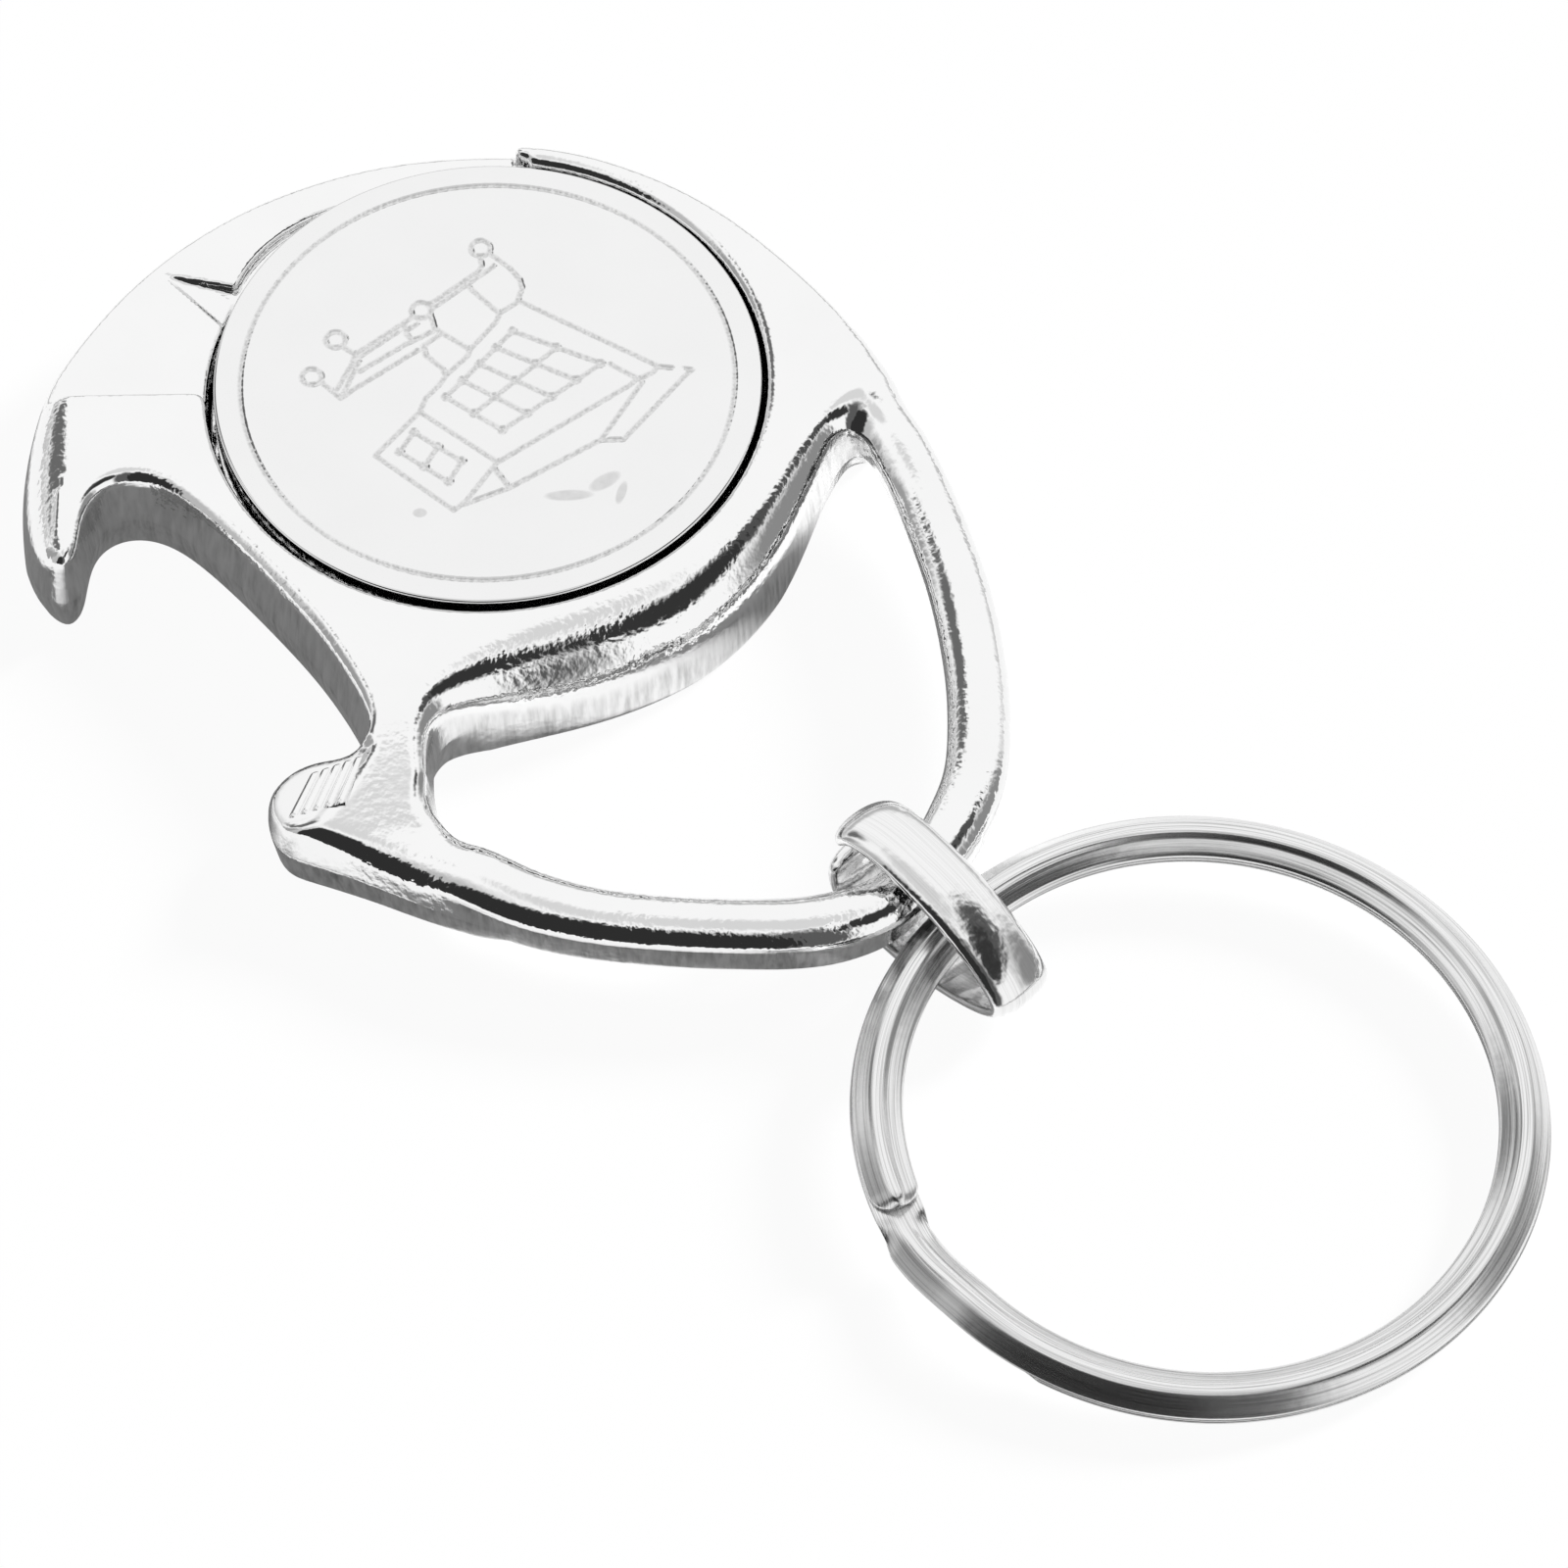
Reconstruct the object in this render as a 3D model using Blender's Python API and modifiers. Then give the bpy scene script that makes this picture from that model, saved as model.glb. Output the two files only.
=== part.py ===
"""Coin holder keyring: a cast holder with a trolley coin, a band link and a split ring.

The origin is on the coin's axis, at the holder's flat back. +Z points from the back to the
coin, +Y to the holder's rounded top, and the opener's mouth is on the -X side. All lengths
are in metres.
"""

import math

import bmesh
import bpy
from mathutils import Matrix, Vector

# Coin and its pocket
COIN_RADIUS = 0.0116
COIN_THICKNESS = 0.0021
COIN_EDGE = 0.00025
COIN_GROOVE_RADIUS = 0.01045
COIN_GROOVE_WIDTH = 0.00024
COIN_GROOVE_DEPTH = 0.0001
COIN_CLEARANCE = 0.0004
RIM_ABOVE_COIN = 0.0003
POCKET_LIP = 0.00025
REST_GAP = 0.0003

# Cast holder
HOLDER_THICKNESS = 0.0051
STEP_HEIGHT = 0.001
BACK_ROUNDING = 0.0008
ROLL_HEIGHT_SHARE = 1.1
STEP_CORNER = 0.0008
RIM_END_RADIUS = 0.0005
OVERRUN = 0.004

# Fingernail notch beside the coin
NOTCH_DEPTH = 0.0009
NOTCH_TILT = math.radians(16)
CRESCENT_ANGLE = math.radians(141)
CRESCENT_WIDTH = 0.0005
CRESCENT_RADIUS = 0.0065
CRESCENT_DEPTH = 0.0009

# Slope of the tongue's top behind the neck
TONGUE_SLOPE = math.radians(8)

# Ribbed thumb pad on the opener's tongue
PAD_ROOT_HEIGHT = 0.0044
PAD_SLOPE = math.radians(24)
PAD_HEADING = math.radians(156)
PAD_LENGTH = 0.0055
PAD_WIDTH = 0.007
RIB_COUNT = 5
RIB_PITCH = 0.00046
RIB_DEPTH = 0.00018
TONGUE_UNDERCUT = math.radians(20)
TONGUE_UNDERCUT_START = 0.0016

# Key loop and magnet
LOOP_BAR_RADIUS = 0.00138
MAGNET_RADIUS = 0.004
MAGNET_THICKNESS = 0.001
MAGNET_EDGE = 0.0001
MAGNET_COVER = 0.0001

# Band link
LINK_WIDTH = 0.0031
LINK_STOCK = 0.0008
LINK_EDGE = 0.0004
LINK_CLEARANCE = 0.00055
LINK_BACK_CLEARANCE = 0.0015
LINK_FRONT_CLEARANCE = 0.0021
LINK_HEADING = math.radians(-45)
LINK_DROOP = math.radians(8)
LINK_LEAN = math.radians(8)
GROUND_CLEARANCE = 0.0001

# Split ring
RING_RADIUS = 0.01305
RING_WIRE_WIDTH = 0.00196
RING_WIRE_FLAT = 0.0007
RING_WIRE_SIDE = 0.0001
RING_COIL_HEIGHT = 0.00062
RING_COIL_GAP = 0.00042
RING_CROSSOVER = math.radians(24)
RING_CROSSOVER_PLACE = math.radians(62)
RING_HEADING = math.radians(-41)
RING_TO_BAR_GAP = 0.00032

# How finely round shapes are divided
ROUND_STEPS = 72
OUTLINE_STEPS = 4
RING_STEPS = 56
LINK_STEPS = 3

# Values worked out from the sizes above
POCKET_RADIUS = COIN_RADIUS + COIN_CLEARANCE
COIN_TOP = HOLDER_THICKNESS - RIM_ABOVE_COIN
COIN_BOTTOM = COIN_TOP - COIN_THICKNESS
POCKET_FLOOR = COIN_BOTTOM - REST_GAP
PLATFORM_HEIGHT = HOLDER_THICKNESS - STEP_HEIGHT
MAGNET_TOP = POCKET_FLOOR - MAGNET_COVER
MAGNET_BOTTOM = MAGNET_TOP - MAGNET_THICKNESS
MAGNET_SEAT_BOTTOM = MAGNET_BOTTOM - REST_GAP
MAGNET_SEAT_RADIUS = MAGNET_RADIUS + REST_GAP
RING_LEVEL = (RING_COIL_HEIGHT + RING_COIL_GAP) / 2
RING_HALF_HEIGHT = RING_LEVEL + RING_COIL_HEIGHT / 2
RING_SECTION_RADIUS = math.hypot(RING_WIRE_WIDTH / 2, RING_LEVEL + RING_WIRE_SIDE / 2)
RING_REACH = LOOP_BAR_RADIUS + RING_TO_BAR_GAP + RING_WIRE_WIDTH / 2
LINK_HALF_HEIGHT = LOOP_BAR_RADIUS + LINK_CLEARANCE + LINK_STOCK / 2
LINK_BACK_REACH = LOOP_BAR_RADIUS + LINK_BACK_CLEARANCE + LINK_STOCK / 2
LINK_FRONT_REACH = RING_REACH + RING_SECTION_RADIUS + LINK_FRONT_CLEARANCE + LINK_STOCK / 2

# The body's widest outline, anticlockwise from the loop's right root.
# Each row is x, y and the width of the rolled top edge, as shares of the pocket radius, then
# the width of the rounded back edge as a share of the back rounding.
BODY_OUTLINE_SHARES = [
    (1.45, -0.07, 0.04, 0.6),
    (1.425, 0.0, 0.05, 0.8),
    (1.36, 0.11, 0.05, 1.0),
    (1.245, 0.30, 0.05, 1.0),
    (0.95, 0.66, 0.05, 1.0),
    (0.65, 0.895, 0.05, 1.0),
    (0.275, 1.06, 0.05, 1.0),
    (-0.08, 1.085, 0.05, 1.0),
    (-0.46, 1.04, 0.05, 1.0),
    (-0.885, 0.865, 0.05, 1.0),
    (-1.235, 0.58, 0.05, 1.0),
    (-1.465, 0.26, 0.06, 1.0),
    (-1.585, 0.015, 0.08, 1.0),
    (-1.64, -0.25, 0.115, 1.0),
    (-1.645, -0.48, 0.12, 1.0),
    (-1.605, -0.67, 0.08, 0.9),
    (-1.545, -0.765, 0.05, 0.7),
    (-1.47, -0.795, 0.04, 0.6),
    (-1.41, -0.74, 0.035, 0.7),
    (-1.395, -0.63, 0.035, 0.9),
    (-1.365, -0.50, 0.04, 1.0),
    (-1.275, -0.43, 0.045, 1.0),
    (-1.135, -0.46, 0.045, 1.0),
    (-0.965, -0.62, 0.045, 1.0),
    (-0.785, -0.835, 0.045, 1.0),
    (-0.60, -1.08, 0.045, 1.0),
    (-0.46, -1.335, 0.04, 1.0),
    (-0.425, -1.465, 0.03, 1.0),
    (-0.48, -1.53, 0.025, 1.0),
    (-0.58, -1.52, 0.025, 1.0),
    (-0.68, -1.545, 0.03, 1.0),
    (-0.755, -1.635, 0.04, 1.0),
    (-0.73, -1.765, 0.06, 1.0),
    (-0.585, -1.845, 0.09, 1.0),
    (-0.42, -1.91, 0.10, 1.0),
    (-0.28, -1.98, 0.08, 0.9),
    (-0.18, -2.025, 0.05, 0.7),
    (-0.105, -2.02, 0.04, 0.6),
    (-0.07, -1.97, 0.04, 0.6),
    (-0.085, -1.905, 0.04, 0.7),
    (-0.125, -1.83, 0.05, 0.9),
    (-0.165, -1.73, 0.05, 1.0),
    (-0.185, -1.60, 0.055, 1.0),
    (-0.175, -1.46, 0.07, 1.0),
    (-0.09, -1.365, 0.12, 1.0),
    (0.125, -1.30, 0.20, 1.0),
    (0.41, -1.22, 0.225, 1.0),
    (0.68, -1.09, 0.215, 1.0),
    (0.87, -0.93, 0.195, 1.0),
    (1.045, -0.68, 0.155, 1.0),
    (1.185, -0.34, 0.10, 1.0),
    (1.255, -0.17, 0.05, 0.9),
    (1.31, -0.14, 0.04, 0.7),
    (1.37, -0.15, 0.04, 0.6),
    (1.425, -0.13, 0.04, 0.6),
]

# The loop bar's centre line from its right root round to the tongue.
# Each row is x and y as shares of the pocket radius, then the height as a share of the bar's
# height at the link, and the bar's thickness as a share of its radius.
LOOP_ROUTE_SHARES = [
    (1.31, 0.03, 1.22, 0.95),
    (1.37, -0.08, 1.19, 1.0),
    (1.445, -0.235, 1.12, 1.02),
    (1.535, -0.47, 1.0, 1.0),
    (1.635, -0.84, 0.94, 1.0),
    (1.685, -1.19, 0.96, 1.0),
    (1.69, -1.46, 0.99, 1.0),
    (1.67, -1.65, 1.0, 1.0),
    (1.615, -1.81, 1.0, 1.0),
    (1.535, -1.955, 1.0, 1.0),
    (1.44, -2.075, 1.0, 1.0),
    (1.335, -2.17, 1.0, 1.0),
    (1.20, -2.225, 1.0, 1.0),
    (1.05, -2.25, 1.0, 1.0),
    (0.84, -2.245, 0.98, 1.0),
    (0.60, -2.225, 0.96, 1.0),
    (0.36, -2.185, 0.93, 1.02),
    (0.14, -2.125, 0.91, 1.08),
    (-0.06, -2.02, 0.90, 1.1),
    (-0.22, -1.90, 0.90, 1.0),
]
LINK_STATION = 10

# The neck's place, where the tongue's slope starts, as a share of the pocket radius
NECK_SHARE = -1.43

# The step's edge on the hook side and the raised rim's end, as shares of the pocket radius
STEP_EDGE_SHARE = -0.035
RIM_END_SHARES = (0.13, 1.04)

# Corners of the notch and of the thumb pad, as shares of the pocket radius
NOTCH_SHARES = [(-1.16, 0.545), (-0.94, 0.31), (-0.80, 0.46)]
PAD_PLACE_SHARES = (-0.435, -1.66)

# The band link's route: along it as shares of the back reach or the front reach, and its
# height as a share of the half height. Its back is open between the first and the last point.
LINK_UPPER_BACK_SHARES = [(-1.03, 0.3), (-0.98, 0.55), (-0.79, 0.83), (-0.42, 0.98)]
LINK_FRONT_SHARES = [
    (0.04, 1.0),
    (0.32, 0.94),
    (0.6, 0.74),
    (0.84, 0.46),
    (0.97, 0.2),
    (1.0, 0.0),
    (0.97, -0.2),
    (0.84, -0.46),
    (0.6, -0.74),
    (0.32, -0.94),
    (0.04, -1.0),
]
LINK_LOWER_BACK_SHARES = [(-0.42, -0.97), (-0.74, -0.8), (-0.9, -0.46), (-0.93, -0.1)]

# Levels of the body's rounded back and rolled top, as angles
BACK_ANGLES = [math.radians(angle) for angle in (0, 30, 60, 90)]
ROLL_ANGLES = [math.radians(angle) for angle in (0, 20, 40, 58, 75, 90)]


def clear_scene():
    """Remove every object that the scene starts with."""
    for existing in list(bpy.data.objects):
        bpy.data.objects.remove(existing, do_unlink=True)


def make_collection(name):
    """Make a collection in the scene."""
    collection = bpy.data.collections.new(name)
    bpy.context.scene.collection.children.link(collection)
    return collection


def make_material(name, colour, metallic, roughness):
    """Make a Principled material with a plain colour."""
    material = bpy.data.materials.new(name)
    material.use_nodes = True
    shader = material.node_tree.nodes["Principled BSDF"]
    shader.inputs["Base Color"].default_value = (*colour, 1.0)
    shader.inputs["Metallic"].default_value = metallic
    shader.inputs["Roughness"].default_value = roughness
    material.diffuse_color = (*colour, 1.0)
    return material


def smooth_through(rows, steps, closed):
    """Points on a Catmull-Rom curve through the rows, with the given steps between them."""
    count = len(rows)
    spans = count if closed else count - 1
    points = []
    for span in range(spans):
        if closed:
            four = [rows[(span + offset) % count] for offset in (-1, 0, 1, 2)]
        else:
            four = [rows[min(max(span + offset, 0), count - 1)] for offset in (-1, 0, 1, 2)]
        for step in range(steps):
            t = step / steps
            weights = (
                (-t + 2 * t ** 2 - t ** 3) / 2,
                (2 - 5 * t ** 2 + 3 * t ** 3) / 2,
                (t + 4 * t ** 2 - 3 * t ** 3) / 2,
                (-t ** 2 + t ** 3) / 2,
            )
            columns = zip(*four)
            points.append(tuple(sum(w * v for w, v in zip(weights, column)) for column in columns))
    if not closed:
        points.append(tuple(rows[-1]))
    return points


def link_object(name, mesh, collection, material=None):
    """Put a mesh in the scene as an object."""
    obj = bpy.data.objects.new(name, mesh)
    collection.objects.link(obj)
    if material:
        mesh.materials.append(material)
    return obj


def curve_to_mesh_object(curve_object, name, collection, material=None):
    """Turn a curve object into a mesh object with welded caps, and remove the curve."""
    bpy.context.view_layer.update()
    evaluated = curve_object.evaluated_get(bpy.context.evaluated_depsgraph_get())
    mesh = bpy.data.meshes.new_from_object(evaluated)
    mesh.name = name
    welded = bmesh.new()
    welded.from_mesh(mesh)
    bmesh.ops.remove_doubles(welded, verts=welded.verts, dist=REST_GAP / 100)
    bmesh.ops.recalc_face_normals(welded, faces=welded.faces)
    welded.to_mesh(mesh)
    welded.free()
    mesh.materials.clear()
    place = curve_object.matrix_world.copy()
    bpy.data.objects.remove(curve_object, do_unlink=True)
    obj = link_object(name, mesh, collection, material)
    obj.matrix_world = place
    return obj


def flat_prism(name, points, bottom, top, collection):
    """A flat outline of points drawn as a filled curve and raised from bottom to top."""
    curve = bpy.data.curves.new(name, "CURVE")
    curve.dimensions = "2D"
    curve.fill_mode = "BOTH"
    curve.extrude = (top - bottom) / 2
    spline = curve.splines.new("POLY")
    spline.points.add(len(points) - 1)
    for place, (x, y) in zip(spline.points, points):
        place.co = (x, y, 0, 1)
    spline.use_cyclic_u = True
    drawn = bpy.data.objects.new(name, curve)
    collection.objects.link(drawn)
    drawn.location.z = (top + bottom) / 2
    return curve_to_mesh_object(drawn, name, collection)


def turned(name, profile, collection, material=None):
    """Turn a profile of radius and height pairs about Z, from its top down to its bottom."""
    mesh = bpy.data.meshes.new(name)
    edges = [(index, index + 1) for index in range(len(profile) - 1)]
    mesh.from_pydata([(radius, 0, height) for radius, height in profile], edges, [])
    obj = link_object(name, mesh, collection, material)
    screw = obj.modifiers.new("Turn", "SCREW")
    screw.steps = ROUND_STEPS
    screw.render_steps = ROUND_STEPS
    screw.use_merge_vertices = True
    screw.merge_threshold = REST_GAP / 100
    screw.use_smooth_shade = True
    return obj


def as_cutter(obj):
    """Hide an object that only shapes another one."""
    obj.hide_render = True
    obj.display_type = "WIRE"
    return obj


def add_boolean(target, tool, operation):
    """Cut a tool from the target, or join it on."""
    modifier = target.modifiers.new(f"{operation.title()} {tool.name}", "BOOLEAN")
    modifier.operation = operation
    modifier.solver = "EXACT"
    modifier.object = as_cutter(tool)


def round_arc(centre, radius, start, end, steps):
    """Points of an arc in the XY plane."""
    angles = [start + (end - start) * step / steps for step in range(steps + 1)]
    return [(centre[0] + radius * math.cos(a), centre[1] + radius * math.sin(a)) for a in angles]


def body_levels(x, y, inward, roll, back):
    """One outline point at every level, from the back up to the top face.

    The back's edge is a quarter ellipse as wide as the back's share of its rounding. The top
    edge is a quarter ellipse as wide as the roll.
    """
    highest = HOLDER_THICKNESS - BACK_ROUNDING - REST_GAP
    height = min(roll * ROLL_HEIGHT_SHARE, highest)
    levels = []
    for angle in BACK_ANGLES:
        inset = BACK_ROUNDING * back * (1 - math.sin(angle))
        levels.append((inset, BACK_ROUNDING * (1 - math.cos(angle))))
    for angle in ROLL_ANGLES:
        inset = roll * (1 - math.cos(angle))
        levels.append((inset, HOLDER_THICKNESS - height + height * math.sin(angle)))
    return [(x + inward.x * inset, y + inward.y * inset, z) for inset, z in levels]


def taper_tongue(blank):
    """Slope the top down from the neck to the tongue, on a mesh of the body's blank."""
    start = NECK_SHARE * POCKET_RADIUS
    everything = blank.verts[:] + blank.edges[:] + blank.faces[:]
    bmesh.ops.bisect_plane(
        blank,
        geom=everything,
        dist=REST_GAP / 100,
        plane_co=(0, start, 0),
        plane_no=(0, 1, 0),
    )
    for vertex in blank.verts:
        beyond = max(start - vertex.co.y, 0)
        vertex.co.z *= 1 - beyond * math.tan(TONGUE_SLOPE) / HOLDER_THICKNESS


def make_body_blank(collection, material):
    """The holder's body as a loft of its outline, without the pocket and the loop."""
    rows = smooth_through(BODY_OUTLINE_SHARES, OUTLINE_STEPS, True)
    count = len(rows)
    columns = []
    for index, (x_share, y_share, roll_share, back_share) in enumerate(rows):
        before = Vector(rows[index - 1][:2])
        after = Vector(rows[(index + 1) % count][:2])
        along = (after - before).normalized()
        inward = Vector((-along.y, along.x))
        x, y = x_share * POCKET_RADIUS, y_share * POCKET_RADIUS
        roll = roll_share * POCKET_RADIUS
        columns.append(body_levels(x, y, inward, roll, back_share))
    blank = bmesh.new()
    grid = [[blank.verts.new(point) for point in column] for column in columns]
    for index, column in enumerate(grid):
        beside = grid[(index + 1) % count]
        for level in range(len(column) - 1):
            blank.faces.new((column[level], beside[level], beside[level + 1], column[level + 1]))
    blank.faces.new([column[0] for column in reversed(grid)])
    blank.faces.new([column[-1] for column in grid])
    taper_tongue(blank)
    mesh = bpy.data.meshes.new("holder_body")
    blank.to_mesh(mesh)
    blank.free()
    return link_object("holder_body", mesh, collection, material)


def link_drop():
    """How far the link reaches below the bar's centre as it leans and droops."""
    lowest = 0
    for along, across, _ in link_route():
        for outward, sideways in link_section():
            size = math.hypot(along, across)
            point = Vector((along, across)) * (1 + outward / size)
            hanging = point.x * math.sin(LINK_DROOP) - point.y * math.cos(LINK_DROOP)
            lowest = max(lowest, hanging * math.cos(LINK_LEAN) + abs(sideways) * math.sin(LINK_LEAN))
    return lowest


def loop_route():
    """The bar's centre line in metres, with its thickness as a share of the bar radius.

    The link's underside just clears the ground, and the bar's height follows from that.
    """
    bar_height = link_drop() + GROUND_CLEARANCE
    return [
        (x * POCKET_RADIUS, y * POCKET_RADIUS, height * bar_height, thick)
        for x, y, height, thick in LOOP_ROUTE_SHARES
    ]


def make_loop_bar(collection):
    """The round bar that encloses the key loop."""
    curve = bpy.data.curves.new("loop_bar", "CURVE")
    curve.dimensions = "3D"
    curve.bevel_depth = LOOP_BAR_RADIUS
    curve.bevel_resolution = 4
    curve.use_fill_caps = True
    spline = curve.splines.new("POLY")
    points = smooth_through(loop_route(), OUTLINE_STEPS, False)
    spline.points.add(len(points) - 1)
    for place, (x, y, z, thick_share) in zip(spline.points, points):
        place.co = (x, y, z, 1)
        place.radius = thick_share
    drawn = bpy.data.objects.new("loop_bar", curve)
    collection.objects.link(drawn)
    return curve_to_mesh_object(drawn, "loop_bar", collection)


def make_pocket_cutter(collection):
    """The round coin pocket with its lip, and the magnet's seat in its floor."""
    above = HOLDER_THICKNESS + OVERRUN
    profile = [
        (0, above),
        (POCKET_RADIUS + POCKET_LIP, above),
        (POCKET_RADIUS + POCKET_LIP, HOLDER_THICKNESS),
        (POCKET_RADIUS, HOLDER_THICKNESS - POCKET_LIP),
        (POCKET_RADIUS, POCKET_FLOOR),
        (MAGNET_SEAT_RADIUS, POCKET_FLOOR),
        (MAGNET_SEAT_RADIUS, MAGNET_SEAT_BOTTOM),
        (0, MAGNET_SEAT_BOTTOM),
    ]
    return turned("pocket_cutter", profile, collection)


def make_step_cutter(collection):
    """Lower the platform from the hook's step round to the raised rim's rounded end."""
    far = POCKET_RADIUS * 2
    edge = STEP_EDGE_SHARE * POCKET_RADIUS
    corner_x = -math.sqrt(POCKET_RADIUS ** 2 - (edge - STEP_CORNER) ** 2) - STEP_CORNER
    rim_x, rim_y = (share * POCKET_RADIUS for share in RIM_END_SHARES)
    corner = round_arc((corner_x, edge - STEP_CORNER), STEP_CORNER, math.pi / 2, 0, 6)
    rim_end = round_arc((rim_x, rim_y), RIM_END_RADIUS, math.pi * 3 / 2, math.pi / 2, 8)
    outline = [(-far, edge), *corner, (0, 0), *rim_end, (rim_x, far), (-far, far)]
    top = HOLDER_THICKNESS + OVERRUN
    return flat_prism("step_cutter", outline, PLATFORM_HEIGHT, top, collection)


def make_notch_cutter(collection):
    """A three-cornered notch whose floor slopes down to its far wall."""
    corners = [Vector((x * POCKET_RADIUS, y * POCKET_RADIUS)) for x, y in NOTCH_SHARES]
    hinge_start, hinge_end = corners[0], corners[1]
    local = [tuple(corner - hinge_start) for corner in corners]
    cutter = flat_prism("notch_cutter", local, -NOTCH_DEPTH / 4, OVERRUN, collection)
    axis = (hinge_start - hinge_end).to_3d().normalized()
    turn = Matrix.Rotation(NOTCH_TILT, 4, axis)
    place = Matrix.Translation((*hinge_start, PLATFORM_HEIGHT))
    cutter.matrix_world = place @ turn
    return cutter


def make_crescent_cutter(collection):
    """The crescent groove for a fingernail, deepest in its middle and tapering along the coin."""
    reach = POCKET_RADIUS + CRESCENT_WIDTH - CRESCENT_RADIUS
    bpy.ops.mesh.primitive_cylinder_add(
        vertices=ROUND_STEPS,
        radius=CRESCENT_RADIUS,
        depth=CRESCENT_DEPTH + OVERRUN,
        location=(
            reach * math.cos(CRESCENT_ANGLE),
            reach * math.sin(CRESCENT_ANGLE),
            PLATFORM_HEIGHT + (OVERRUN - CRESCENT_DEPTH) / 2,
        ),
    )
    cutter = bpy.context.object
    cutter.name = "crescent_cutter"
    move_to(cutter, collection)
    return cutter


def move_to(obj, collection):
    """Move an object from the collections it is in to one collection."""
    for holder in list(obj.users_collection):
        holder.objects.unlink(obj)
    collection.objects.link(obj)


def pad_height(run):
    """The height of the pad's plain slope at a run from its root."""
    return PAD_ROOT_HEIGHT - run * math.tan(PAD_SLOPE)


def pad_profile():
    """The thumb pad's profile of runs and heights, with the ribs as saw teeth from its root."""
    top = HOLDER_THICKNESS + OVERRUN
    profile = [(0, top)]
    for rib in range(RIB_COUNT):
        start, end = rib * RIB_PITCH, (rib + 1) * RIB_PITCH
        profile.append((start, pad_height(start) - RIB_DEPTH))
        profile.append((end, pad_height(end)))
    profile.append((end, pad_height(end) - RIB_DEPTH))
    profile.append((PAD_LENGTH, pad_height(PAD_LENGTH) - RIB_DEPTH))
    profile.append((PAD_LENGTH, top))
    return profile


def pad_frame():
    """The pad's frame: X from its root to the tongue's tip, Z up."""
    x, y = (share * POCKET_RADIUS for share in PAD_PLACE_SHARES)
    return Matrix.Translation((x, y, 0)) @ Matrix.Rotation(PAD_HEADING, 4, "Z")


def make_pad_cutter(collection):
    """Cut the tongue's sloping thumb pad with its ribs."""
    cutter = flat_prism("pad_cutter", pad_profile(), -PAD_WIDTH / 2, PAD_WIDTH / 2, collection)
    cutter.matrix_world = pad_frame() @ Matrix.Rotation(math.pi / 2, 4, "X")
    return cutter


def make_undercut_cutter(collection):
    """A sloping block that thins the tongue's tip from below."""
    bpy.ops.mesh.primitive_cube_add(size=1)
    cutter = bpy.context.object
    cutter.name = "undercut_cutter"
    cutter.data.transform(Matrix.Diagonal((PAD_LENGTH, PAD_WIDTH, OVERRUN, 1)))
    cutter.data.transform(Matrix.Translation((PAD_LENGTH / 2, 0, -OVERRUN / 2)))
    start = Matrix.Translation((TONGUE_UNDERCUT_START, 0, 0))
    cutter.matrix_world = pad_frame() @ start @ Matrix.Rotation(-TONGUE_UNDERCUT, 4, "Y")
    move_to(cutter, collection)
    return cutter


def make_holder_body(parts, cutters, material):
    """The cast holder: body, key loop, coin pocket, opener's mouth and ribbed tongue."""
    body = make_body_blank(parts, material)
    add_boolean(body, make_loop_bar(cutters), "UNION")
    add_boolean(body, make_step_cutter(cutters), "DIFFERENCE")
    add_boolean(body, make_pocket_cutter(cutters), "DIFFERENCE")
    add_boolean(body, make_crescent_cutter(cutters), "DIFFERENCE")
    add_boolean(body, make_notch_cutter(cutters), "DIFFERENCE")
    add_boolean(body, make_pad_cutter(cutters), "DIFFERENCE")
    add_boolean(body, make_undercut_cutter(cutters), "DIFFERENCE")
    return body


def make_magnet(parts, material):
    """The round magnet in the pocket's floor."""
    profile = [
        (0, MAGNET_TOP),
        (MAGNET_RADIUS - MAGNET_EDGE, MAGNET_TOP),
        (MAGNET_RADIUS, MAGNET_TOP - MAGNET_EDGE),
        (MAGNET_RADIUS, MAGNET_BOTTOM + MAGNET_EDGE),
        (MAGNET_RADIUS - MAGNET_EDGE, MAGNET_BOTTOM),
        (0, MAGNET_BOTTOM),
    ]
    return turned("retaining_magnet", profile, parts, material)


def make_coin(parts, material):
    """The trolley coin with eased edges and a fine groove round its face."""
    half_groove = COIN_GROOVE_WIDTH / 2
    profile = [
        (0, COIN_THICKNESS),
        (COIN_GROOVE_RADIUS - half_groove, COIN_THICKNESS),
        (COIN_GROOVE_RADIUS, COIN_THICKNESS - COIN_GROOVE_DEPTH),
        (COIN_GROOVE_RADIUS + half_groove, COIN_THICKNESS),
        (COIN_RADIUS - COIN_EDGE, COIN_THICKNESS),
        (COIN_RADIUS, COIN_THICKNESS - COIN_EDGE),
        (COIN_RADIUS, COIN_EDGE),
        (COIN_RADIUS - COIN_EDGE, 0),
        (0, 0),
    ]
    coin = turned("trolley_coin", profile, parts, material)
    coin.location.z = COIN_BOTTOM
    return coin


def make_section(name, points, collection):
    """A closed flat section for a swept curve."""
    curve = bpy.data.curves.new(name, "CURVE")
    curve.dimensions = "2D"
    spline = curve.splines.new("POLY")
    spline.points.add(len(points) - 1)
    for place, (x, y) in zip(spline.points, points):
        place.co = (x, y, 0, 1)
    spline.use_cyclic_u = True
    section = bpy.data.objects.new(name, curve)
    collection.objects.link(section)
    return as_cutter(section)


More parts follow.
